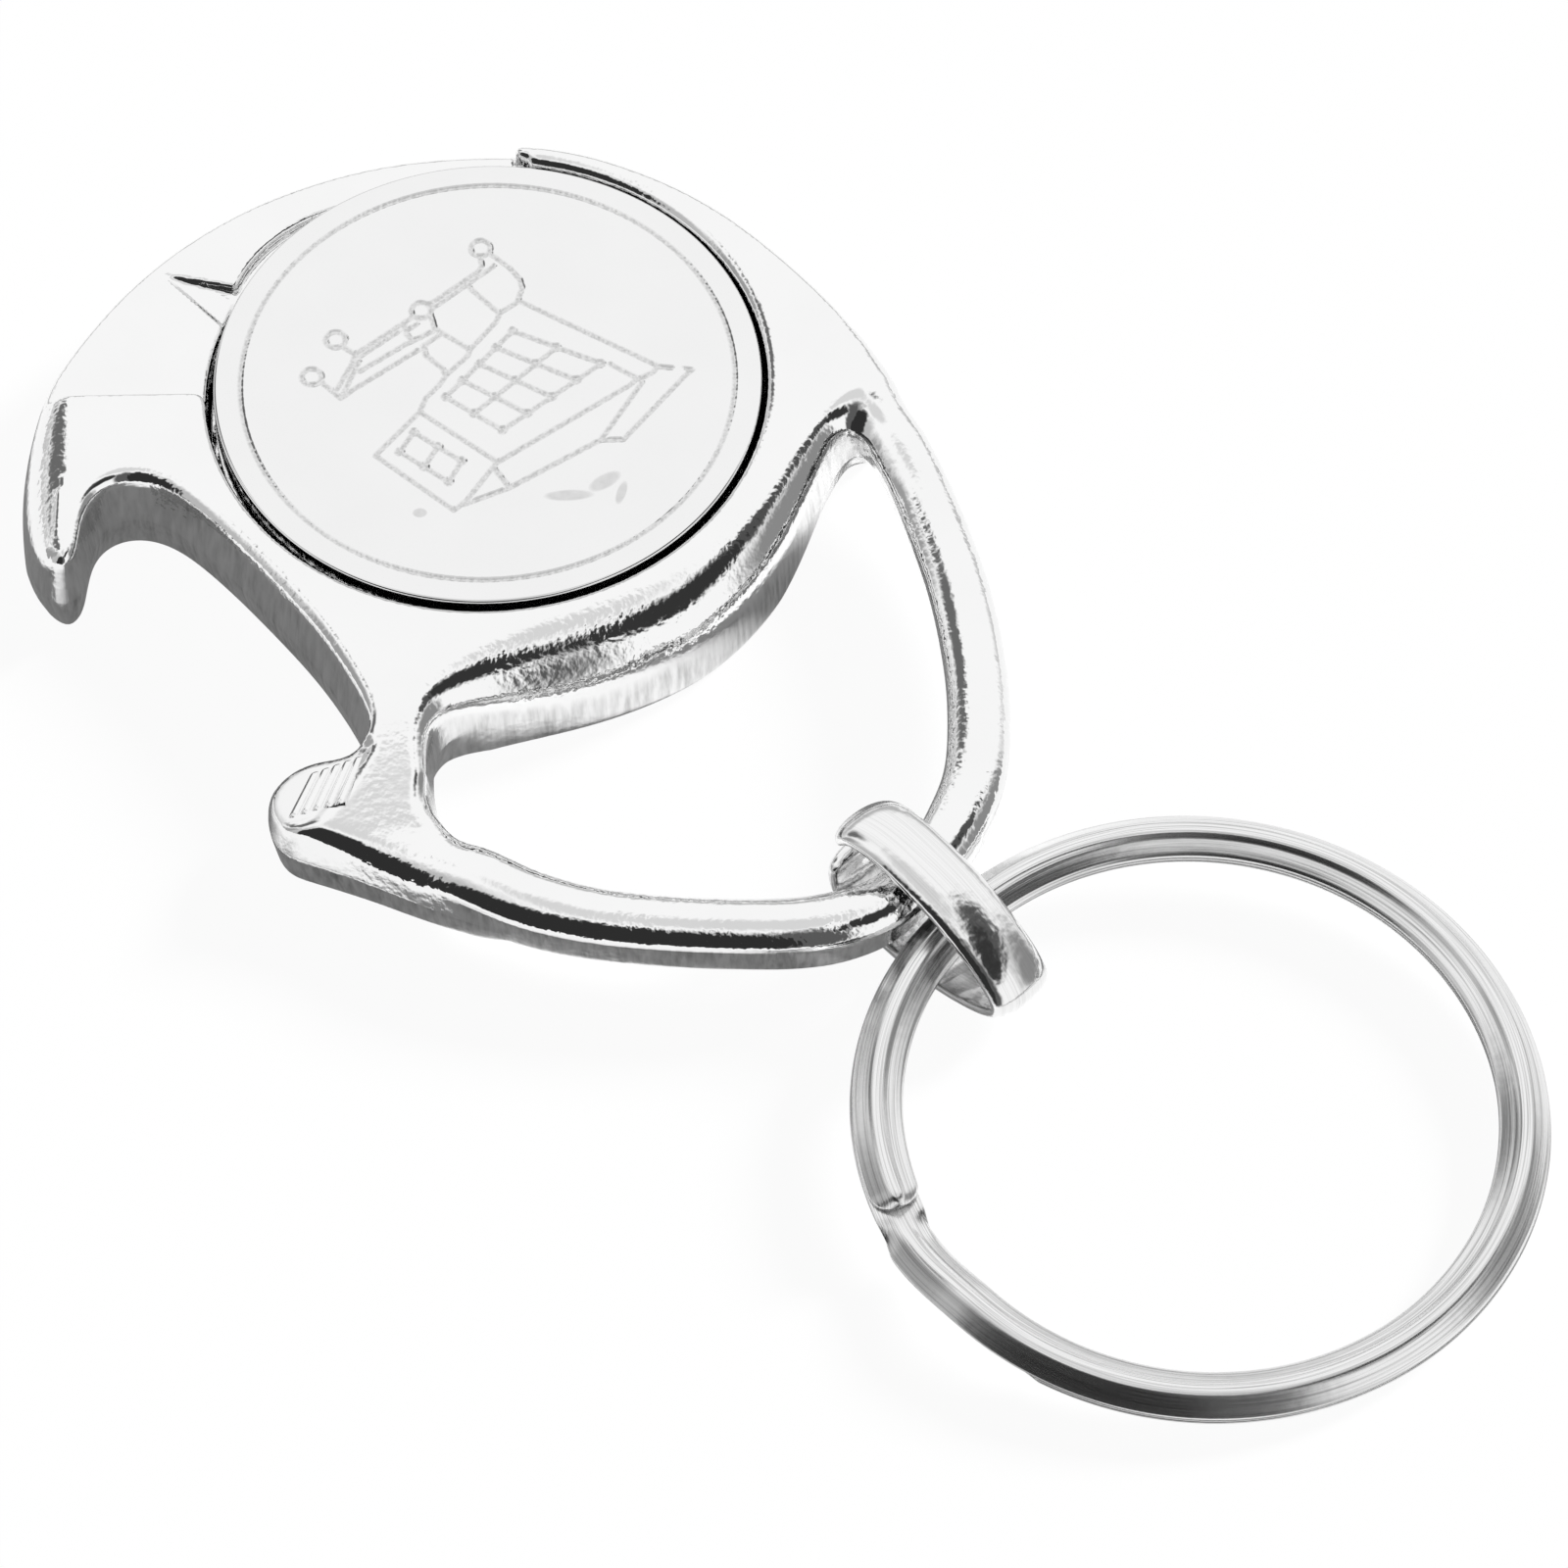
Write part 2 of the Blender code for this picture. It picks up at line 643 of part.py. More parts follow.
def sweep(name, route, section, collection, material):
    """Sweep a section along a route of points, with both ends closed."""
    curve = bpy.data.curves.new(name, "CURVE")
    curve.dimensions = "3D"
    curve.twist_mode = "Z_UP"
    curve.bevel_mode = "OBJECT"
    curve.bevel_object = section
    curve.use_fill_caps = True
    spline = curve.splines.new("POLY")
    spline.points.add(len(route) - 1)
    for place, point in zip(spline.points, route):
        place.co = (*point, 1)
    drawn = bpy.data.objects.new(name, curve)
    collection.objects.link(drawn)
    swept = curve_to_mesh_object(drawn, name, collection, material)
    swept.data.shade_smooth()
    swept.data.set_sharp_from_angle(angle=math.radians(40))
    return swept


def link_route():
    """The band's middle line, from one end at the back over the bar to the other end."""
    points = [(x * LINK_BACK_REACH, y * LINK_HALF_HEIGHT) for x, y in LINK_UPPER_BACK_SHARES]
    points += [(x * LINK_FRONT_REACH, y * LINK_HALF_HEIGHT) for x, y in LINK_FRONT_SHARES]
    points += [(x * LINK_BACK_REACH, y * LINK_HALF_HEIGHT) for x, y in LINK_LOWER_BACK_SHARES]
    return [(x, y, 0) for x, y in smooth_through(points, LINK_STEPS, False)]


def link_section():
    """The band's section, as outward and sideways pairs: flat inside and domed outside."""
    half, stock = LINK_WIDTH / 2, LINK_STOCK / 2
    edge = LINK_EDGE - stock
    return [
        (-stock, -half),
        (-stock, half),
        (edge, half),
        (stock * 3 / 4, half / 2),
        (stock, 0),
        (stock * 3 / 4, -half / 2),
        (edge, -half),
    ]


def link_pose():
    """The link's frame: X along it away from the holder, Y across its loop, Z along the bar."""
    route = loop_route()
    x, y, z, _ = route[LINK_STATION]
    heading = Matrix.Rotation(LINK_HEADING, 4, "Z")
    upright = Matrix.Rotation(math.pi / 2 - LINK_LEAN, 4, "X")
    droop = Matrix.Rotation(-LINK_DROOP, 4, "Z")
    return Matrix.Translation((x, y, z)) @ heading @ upright @ droop


def ring_pose():
    """The split ring's frame at the point of its wire inside the link.

    X points to the ring's centre, and the ring slopes down from the link to rest on the ground.
    """
    point = link_pose() @ Vector((RING_REACH, 0, 0))
    slope = math.asin((point.z - RING_HALF_HEIGHT - GROUND_CLEARANCE) / (RING_RADIUS * 2))
    heading = Matrix.Rotation(RING_HEADING, 4, "Z")
    return Matrix.Translation(point) @ heading @ Matrix.Rotation(slope, 4, "Y")


def make_link(parts, cutters, material):
    """The open band link round the loop bar and the split ring, on a pivot at the bar."""
    pivot = bpy.data.objects.new("link_pivot", None)
    parts.objects.link(pivot)
    pivot.matrix_world = link_pose()
    inward = [(-outward, sideways) for outward, sideways in link_section()]
    section = make_section("link_section", inward, cutters)
    link = sweep("connecting_link", link_route(), section, parts, material)
    link.parent = pivot
    return pivot


def ring_route():
    """The wire's middle line, two turns with a ramp where it changes level.

    The ring's centre is at +X, and the crossover's place is measured from the link.
    """
    turn = 2 * math.pi
    start = math.pi + RING_CROSSOVER_PLACE
    step = turn / RING_STEPS
    long_way = turn - RING_CROSSOVER
    ramp_steps = 8
    long_steps = round(long_way / step)
    angles = [start - long_way * index / long_steps for index in range(long_steps + 1)]
    levels = [RING_LEVEL] * len(angles)
    for index in range(1, ramp_steps + 1):
        share = index / ramp_steps
        angles.append(start - long_way - RING_CROSSOVER * share)
        levels.append(RING_LEVEL * math.cos(math.pi * min(share / ramp_share(), 1)))
    for index in range(1, long_steps + 1):
        angles.append(start - turn - long_way * index / long_steps)
        levels.append(-RING_LEVEL)
    return [
        (RING_RADIUS * (1 + math.cos(angle)), RING_RADIUS * math.sin(angle), level)
        for angle, level in zip(angles, levels)
    ]


def ramp_share():
    """The share of the crossover that the ramp takes before the wire lies level again."""
    return 1 - RING_COIL_GAP / (RING_CROSSOVER * RING_RADIUS)


def ring_section():
    """One coil's section: flat sides, narrow flats above and below, and slopes between."""
    half, side = RING_WIRE_WIDTH / 2, RING_WIRE_SIDE / 2
    flat, high = RING_WIRE_FLAT / 2, RING_COIL_HEIGHT / 2
    quarter = [(half, side), ((half * 2 + flat) / 3, (side + high * 2) / 3), (flat, high)]
    upper = quarter + [(-x, y) for x, y in reversed(quarter)]
    return upper + [(-x, -y) for x, y in upper]


def least_ring_gap():
    """The least gap between the ring's two turns, from points of its middle line."""
    route = [Vector(point) for point in ring_route()]
    skip = RING_STEPS // 2
    nearest = math.inf
    for index, point in enumerate(route):
        for other in route[index + skip:]:
            nearest = min(nearest, (point - other).length)
    return nearest - RING_COIL_HEIGHT


def make_ring(parts, cutters, material):
    """The double-wound split ring, on a pivot at its wire inside the link."""
    pivot = bpy.data.objects.new("ring_pivot", None)
    parts.objects.link(pivot)
    pivot.matrix_world = ring_pose()
    section = make_section("ring_section", ring_section(), cutters)
    ring = sweep("split_ring", ring_route(), section, parts, material)
    ring.parent = pivot
    return pivot


def main():
    """Build the keyring."""
    clear_scene()
    parts = make_collection("coin_holder_keyring")
    cutters = make_collection("cutters")
    chrome = make_material("chrome_plate", (0.80, 0.81, 0.82), 1.0, 0.08)
    steel = make_material("coin_steel", (0.78, 0.78, 0.77), 1.0, 0.18)
    nickel = make_material("magnet_nickel", (0.62, 0.62, 0.60), 1.0, 0.3)
    link_plate = make_material("link_plate", (0.77, 0.78, 0.79), 1.0, 0.12)
    ring_plate = make_material("ring_plate", (0.75, 0.76, 0.77), 1.0, 0.14)
    make_holder_body(parts, cutters, chrome)
    make_magnet(parts, nickel)
    make_coin(parts, steel)
    make_link(parts, cutters, link_plate)
    make_ring(parts, cutters, ring_plate)
    bpy.context.view_layer.update()
    print(f"least gap between the ring's turns: {least_ring_gap() * 1000:.2f} mm")


main()
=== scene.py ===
"""Looks of the coin holder keyring: chrome casting, engraved coin, band link and split ring.

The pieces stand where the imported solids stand, in the same frame: the origin is on the coin's
axis at the holder's flat back, and +Z points from the back to the coin.
"""

import math

import bpy
import numpy as np
from mathutils import Matrix, Vector


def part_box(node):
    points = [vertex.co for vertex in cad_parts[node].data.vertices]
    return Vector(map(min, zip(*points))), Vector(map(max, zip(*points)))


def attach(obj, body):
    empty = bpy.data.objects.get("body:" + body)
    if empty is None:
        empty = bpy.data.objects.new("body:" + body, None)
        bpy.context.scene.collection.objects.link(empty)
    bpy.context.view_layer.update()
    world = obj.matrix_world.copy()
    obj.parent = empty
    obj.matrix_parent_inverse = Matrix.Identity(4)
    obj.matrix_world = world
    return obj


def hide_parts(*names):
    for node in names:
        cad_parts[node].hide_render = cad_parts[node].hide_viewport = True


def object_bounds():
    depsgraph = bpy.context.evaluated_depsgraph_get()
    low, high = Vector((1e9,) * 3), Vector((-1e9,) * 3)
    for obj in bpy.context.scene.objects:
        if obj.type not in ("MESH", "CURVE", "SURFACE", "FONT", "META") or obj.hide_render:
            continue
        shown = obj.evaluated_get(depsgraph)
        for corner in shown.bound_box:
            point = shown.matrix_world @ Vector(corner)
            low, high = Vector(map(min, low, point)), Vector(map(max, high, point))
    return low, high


bl_info = {
    "name": "Coin holder keyring looks",
    "version": (1, 0, 0),
    "blender": (4, 5, 0),
    "location": "View3D > Sidebar > Keyring",
    "description": "Builds the keyring's chrome casting, coin, band link, split ring and studio",
    "category": "Object",
}

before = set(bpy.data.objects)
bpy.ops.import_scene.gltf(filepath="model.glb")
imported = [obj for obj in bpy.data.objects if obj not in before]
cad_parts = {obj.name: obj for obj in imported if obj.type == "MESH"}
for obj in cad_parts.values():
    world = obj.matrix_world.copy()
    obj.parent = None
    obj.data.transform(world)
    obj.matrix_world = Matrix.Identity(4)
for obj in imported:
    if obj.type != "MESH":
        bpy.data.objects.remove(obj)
CAD_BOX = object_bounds()

MM = 0.001

# The casting's widest outline, anticlockwise from the loop's right root. Each row is x, y and
# the width of the rolled top edge as shares of the pocket radius, then the width of the rounded
# back edge as a share of the back rounding.
BODY_OUTLINE_SHARES = [
    (1.42, -0.03, 0.09, 0.6),
    (1.405, 0.03, 0.05, 0.8),
    (1.36, 0.125, 0.03, 1.0),
    (1.255, 0.315, 0.027, 1.0),
    (0.955, 0.665, 0.027, 1.0),
    (0.655, 0.9, 0.027, 1.0),
    (0.28, 1.063, 0.027, 1.0),
    (-0.08, 1.085, 0.03, 1.0),
    (-0.46, 1.04, 0.03, 1.0),
    (-0.885, 0.865, 0.03, 1.0),
    (-1.235, 0.58, 0.035, 1.0),
    (-1.465, 0.26, 0.06, 1.0),
    (-1.585, 0.015, 0.11, 1.0),
    (-1.64, -0.25, 0.17, 1.0),
    (-1.645, -0.48, 0.18, 1.0),
    (-1.605, -0.67, 0.12, 0.9),
    (-1.545, -0.765, 0.07, 0.7),
    (-1.47, -0.795, 0.04, 0.6),
    (-1.41, -0.74, 0.035, 0.7),
    (-1.395, -0.63, 0.035, 0.9),
    (-1.365, -0.50, 0.04, 1.0),
    (-1.275, -0.43, 0.045, 1.0),
    (-1.135, -0.46, 0.045, 1.0),
    (-0.965, -0.62, 0.045, 1.0),
    (-0.785, -0.835, 0.045, 1.0),
    (-0.60, -1.08, 0.045, 1.0),
    (-0.46, -1.335, 0.04, 1.0),
    (-0.425, -1.465, 0.03, 1.0),
    (-0.48, -1.53, 0.025, 1.0),
    (-0.58, -1.52, 0.025, 1.0),
    (-0.68, -1.545, 0.03, 1.0),
    (-0.755, -1.64, 0.03, 1.0),
    (-0.745, -1.785, 0.03, 1.0),
    (-0.69, -1.87, 0.035, 1.0),
    (-0.585, -1.915, 0.04, 1.0),
    (-0.42, -1.985, 0.05, 1.0),
    (-0.27, -2.06, 0.06, 1.0),
    (-0.12, -2.13, 0.075, 0.9),
    (0.02, -2.175, 0.08, 0.7),
    (0.08, -2.13, 0.08, 0.6),
    (0.03, -2.03, 0.08, 0.6),
    (-0.035, -1.925, 0.07, 0.7),
    (-0.10, -1.82, 0.07, 0.9),
    (-0.165, -1.73, 0.05, 1.0),
    (-0.185, -1.60, 0.055, 1.0),
    (-0.175, -1.46, 0.07, 1.0),
    (-0.09, -1.365, 0.12, 1.0),
    (0.125, -1.30, 0.20, 1.0),
    (0.41, -1.22, 0.225, 1.0),
    (0.68, -1.09, 0.215, 1.0),
    (0.87, -0.93, 0.195, 1.0),
    (1.045, -0.68, 0.155, 1.0),
    (1.185, -0.34, 0.10, 1.0),
    (1.26, -0.18, 0.05, 0.9),
    (1.30, -0.14, 0.035, 0.7),
    (1.345, -0.13, 0.06, 0.6),
    (1.395, -0.095, 0.09, 0.6),
]

# The loop bar's middle line from its right root round to the tongue. Each row is x and y as
# shares of the pocket radius, the height as a share of the bar's height at the link, and the
# thickness as a share of the bar's radius.
LOOP_ROUTE_SHARES = [
    (1.245, 0.06, 1.26, 0.70),
    (1.33, -0.07, 1.25, 0.84),
    (1.43, -0.235, 1.17, 0.95),
    (1.53, -0.47, 1.0, 0.97),
    (1.635, -0.84, 0.94, 1.0),
    (1.685, -1.19, 0.96, 1.0),
    (1.69, -1.46, 0.99, 1.0),
    (1.67, -1.65, 1.0, 1.0),
    (1.615, -1.81, 1.0, 1.0),
    (1.535, -1.955, 1.0, 0.94),
    (1.44, -2.075, 1.0, 0.91),
    (1.335, -2.17, 1.0, 0.95),
    (1.20, -2.225, 1.0, 1.0),
    (1.05, -2.25, 1.0, 1.0),
    (0.84, -2.245, 0.98, 1.0),
    (0.60, -2.225, 0.96, 1.0),
    (0.36, -2.185, 0.93, 1.02),
    (0.14, -2.115, 0.92, 1.08),
    (-0.06, -2.01, 0.92, 1.08),
    (-0.23, -1.935, 0.92, 0.8),
    (-0.38, -1.87, 0.93, 0.6),
]

# Corners of the nail notch as shares of the pocket radius
NOTCH_SHARES = [(-1.16, 0.545), (-0.94, 0.31), (-0.80, 0.46)]

# Corners of the ribbed patch on the tongue, in millimetres: root and tip line, far end first
RIB_PATCH_MM = [(-4.95, -18.75), (-5.75, -21.25), (-7.25, -19.0), (-8.2, -21.35)]

# Strokes of the shopping trolley on the coin's face, in millimetres from the pocket's axis
TROLLEY_STROKES_MM = [
    [(-7.05, 0.12), (-6.22, -0.75), (-5.48, 1.22)],
    [(-6.4, -0.27), (-5.74, 1.16), (-5.66, 1.58), (-6.1, 1.93)],
    [(-5.66, 1.58), (-3.3, 3.48)],
    [(-2.47, 4.25), (-0.45, 5.95), (-0.33, 6.2), (-0.39, 6.75)],
    [(-6.22, -0.75), (-5.68, -0.27), (-3.0, 1.75)],
    [(-5.44, 1.46), (-3.84, 2.77)],
    [(-5.44, 0.68), (-3.3, 2.23)],
    [(-3.6, 3.18), (-3.48, 2.65), (-3.24, 2.23), (-2.35, 2.77)],
    [(-3.5, 2.8), (-3.05, 3.15)],
    [(-2.47, 3.6), (-2.29, 2.89), (-0.8, 1.75)],
    [(-2.11, 2.53), (-2.77, 1.99), (-2.65, 1.46), (-1.93, 0.74), (-1.81, 0.39)],
    [(-1.81, 0.39), (-2.11, -0.15), (-2.65, -0.8), (-2.89, -1.52), (-4.73, -3.78)],
    [(-2.41, 3.96), (0.21, 6.22)],
    [(-1.05, 5.45), (-0.75, 4.95), (0.21, 3.9), (0.45, 3.66), (1.28, 4.31)],
    [(0.45, 3.66), (0.3, 3.2), (-0.8, 1.75), (-0.9, 1.4), (-1.81, 0.39)],
    [(0.03, 6.87), (0.8, 6.16), (1.28, 5.5), (1.4, 5.03), (1.22, 4.37)],
    [(1.28, 4.31), (7.23, 0.68), (8.6, 0.5), (8.3, 0.2), (5.69, -3.13), (4.73, -3.13)],
    [(7.1, 0.7), (6.95, 0.4), (6.35, 0.03)],
    [(5.15, 0.86), (6.28, 0.09), (6.04, -0.21), (0.45, -4.2)],
    [(6.5, -0.1), (4.73, -3.13), (0.92, -5.57), (-0.98, -6.4)],
    [(0.39, -4.2), (-0.86, -6.16), (-1.4, -6.7), (-4.73, -3.78)],
    [(0.39, -4.2), (-2.89, -1.52)],
    [(0.3, -4.6), (0.92, -5.57)],
]
TROLLEY_WHEELS_MM = [(-7.47, 0.41), (-6.49, 2.37), (-2.89, 3.87), (-0.385, 7.17)]

# The two wire grids of the trolley's basket: four corners in millimetres, then the number of
# lines along and across. A dot marks every crossing.
TROLLEY_GRIDS_MM = [
    ([(-1.8, -0.75), (0.6, -2.55), (4.75, 0.9), (1.0, 2.7)], 3, 5),
    ([(-3.12, -2.59), (-3.72, -3.6), (-1.64, -5.21), (-1.1, -4.14)], 2, 3),
]

# Handling marks on the coin's face: x, y, half length and half width in millimetres, and the
# direction in degrees
COIN_MARKS_MM = [
    (-2.83, -6.8, 0.3, 0.24, 0),
    (3.4, -6.0, 1.0, 0.28, 2),
    (4.9, -5.3, 0.75, 0.35, 35),
    (5.6, -5.9, 0.6, 0.2, 75),
]

# One coil of the split ring from its outer foot over the top to its inner foot: place across
# the wire and height above the seam, in millimetres
RING_SECTION_MM = [
    (0.93, 0),
    (0.965, 0.025),
    (0.975, 0.07),
    (0.955, 0.12),
    (0.9, 0.18),
    (0.78, 0.3),
    (0.6, 0.485),
    (0.44, 0.64),
    (0.35, 0.72),
    (0.3, 0.755),
    (0.25, 0.78),
    (0.17, 0.795),
    (0.06, 0.8),
    (-0.05, 0.8),
    (-0.13, 0.795),
    (-0.17, 0.775),
    (-0.22, 0.73),
    (-0.3, 0.655),
    (-0.36, 0.61),
    (-0.4, 0.59),
    (-0.46, 0.565),
    (-0.6, 0.495),
    (-0.75, 0.415),
    (-0.85, 0.36),
    (-0.92, 0.3),
    (-0.955, 0.23),
    (-0.965, 0.12),
    (-0.955, 0.04),
    (-0.93, 0),
]

# The band link's middle line: along it as shares of the back or front reach, and its height as
# a share of the half height. Its back is open between the first and the last point.
LINK_UPPER_BACK_SHARES = [(-1.03, 0.3), (-0.98, 0.55), (-0.79, 0.83), (-0.42, 0.98)]
LINK_FRONT_SHARES = [
    (0.04, 1.0),
    (0.32, 0.94),
    (0.6, 0.74),
    (0.84, 0.46),
    (0.97, 0.2),
    (1.0, 0.0),
    (0.97, -0.2),
    (0.84, -0.46),
    (0.6, -0.74),
    (0.32, -0.94),
    (0.04, -1.0),
]
LINK_LOWER_BACK_SHARES = [(-0.42, -0.97), (-0.74, -0.8), (-0.9, -0.46), (-0.93, -0.1)]

# How finely the outline and the bar's route are divided between their rows, and over how many
# neighbours the outline is evened out
OUTLINE_STEPS = 16
OUTLINE_EVENING = 6
ROUTE_STEPS = 8

# Roundings between faces of the casting, in metres
NOTCH_ROUNDING = 0.0001
BAR_ROUNDING = 0.00012
GROOVE_ROUNDING = 0.00015
WALL_ROUNDING = 0.0002
STEP_ROUNDING = 0.0003
TIP_ROUNDING = 0.0004
NOSE_ROUNDING = 0.0008
SLOPE_ROUNDING = 0.002

# Height of the rolled top edge as a share of its width, the width from which a roll counts as
# broad as a share of the pocket radius, and the bend at the parting line of a broad roll
ROLL_HEIGHT = 1.1
BROAD_ROLL = 0.1
BROAD_BEND = 0.0012

# Over how much more breadth the bend at the parting line widens, and the tuck below it fades
BEND_BREADTH = 0.08
TUCK_BREADTH = 0.06

# How far behind the neck the flank starts to lean as the tongue's does, and over what length
LEAN_START = 0.0025
LEAN_LENGTH = 0.0015

# How far inside the pocket's wall the step beside the hook runs on, so that the wall ends it
LEDGE = 0.0004

# The bar's flat sides: their place and their upper edge as shares of its radius
BAR_SIDE = 0.91
BAR_SIDE_EDGE = 0.42

# Where the underside starts to rise in x, in front of a place in y, and where the fillet between
# the bar and the body starts to widen in x, and over what length
NOSE_START = -0.0068
NOSE_BACK = -0.0215
FILLET_START = 0.002
FILLET_LENGTH = 0.006

# The thumb pad's limits to its right and left and along its slope, and the place and steepness
# of the fall beyond its edge
PAD_RIGHT = -0.0027
PAD_LEFT = 0.0035
PAD_REACH = 0.0055
PAD_EDGE = -0.0015
PAD_FALL = 1.2

# The ribs: how many, points across one and along one, the share of a rib's width in which it
# rises, its ends' fade as a share of its length, and how far the valleys lie below the plain
# slope as a share of the ribs' depth
RIB_COUNT = 5
RIB_POINTS = 8
RIB_LENGTH_POINTS = 24
RIB_RISE = 0.65
RIB_FADE = 0.08
RIB_SINK = 0.15

# The coin's face: how far the evenly spaced grid reaches as a share of the face, how far the
# groove's fine grid reaches as a share of its width, and the grid's steps from the middle out
FIGURE_SHARE = 0.8
GROOVE_REACH = 0.6
FACE_STEPS = (128, 5, 8, 3)

# The link: points round its section, the shares of its length in which its ends round off, and
# the power by which they thin more slowly than they narrow
LINK_SECTION_POINTS = 40
LINK_ENDS = (0.07, 0.04)
LINK_END_THINNING = 0.6

# The link's section: where it is widest below its middle as a share of half its thickness, and
# the powers of its sides' cosine outside and inside and of its inner face's sine. One is an
# ellipse, and less is squarer.
LINK_EDGE = 0.35
LINK_OUTER_POWER = 0.95
LINK_INNER_POWER = 0.5
LINK_FLAT_POWER = 0.35

# The split ring: points along the wire, how far each coil lies off the middle line in metres,
# and the angles in radians in which the near end narrows and thins and the far end closes
RING_POINTS = 860
COIL_OFFSET = 0.00003
RING_NOSE = 0.075
RING_BLUNT = 0.035
RING_TAIL = 0.008

# The split ring's change of level: the share of it in which the wire sinks, and the share after
# which the section turns over and how long that takes. Then the far end's least width and
# height as shares of the wire's.
SINK_SHARE = 0.92
TURN_START, TURN_LENGTH = 0.7, 0.3
TAIL_WIDTH, TAIL_HEIGHT = 0.3, 0.2

# Darker parts of the room as the metal sees them: azimuth, elevation, half width and half
# height in degrees, softness of the edge as a share, and brightness on the screen.
ROOM_PATCHES = [
    (242, 25, 38, 40, 0.14, 0.2),
    (278, 28, 25, 40, 0.25, 0.36),
    (335, 51, 40, 15, 0.25, 0.22),
    (5, 50, 22, 14, 0.3, 0.32),
    (8, 10, 22, 24, 0.35, 0.55),
    (140, 34, 13, 20, 0.4, 0.42),
    (172, 5, 16, 35, 0.4, 0.62),
    (205, 10, 26, 50, 0.4, 0.74),
    (0, 90, 400, 17, 0.3, 0.86),
    (95, 2, 60, 12, 0.4, 0.74),
]

# Power that turns brightness on the screen into light, the room's light on dull surfaces, and
# how far the floor lies below the object
SCREEN_POWER = 2.2
ROOM_FILL = 0.12
FLOOR_GAP = 0.00005
FLOOR_HALF = 2.0

# The lamp's strength, and its angle across, azimuth and elevation in degrees
LAMP_STRENGTH = 6.5
LAMP_ACROSS = 14
LAMP_AZIMUTH = 32
LAMP_ELEVATION = 28

# The camera's place in metres, its right and down directions, and its lens in millimetres
CAMERA_PLACE = (0.01222, -0.23835, 0.31771)
CAMERA_RIGHT = (0.99989, -0.01218, -0.00847)
CAMERA_DOWN = (-0.01484, -0.8210, -0.5706)
CAMERA_LENS = 213.75


def length(name, description, default):
    """A property that holds a length in metres."""
    return bpy.props.FloatProperty(
        name=name, description=description, default=default, unit="LENGTH", precision=5
    )


def angle(name, description, degrees):
    """A property that holds an angle."""
    return bpy.props.FloatProperty(
        name=name,
        description=description,
        default=math.radians(degrees),
        subtype="ANGLE",
        min=-math.pi,
        max=math.pi,
    )


def colour(name, description, default):
    """A property that holds a colour."""
    return bpy.props.FloatVectorProperty(
        name=name, description=description, default=default, subtype="COLOR", size=3, min=0, max=1
    )


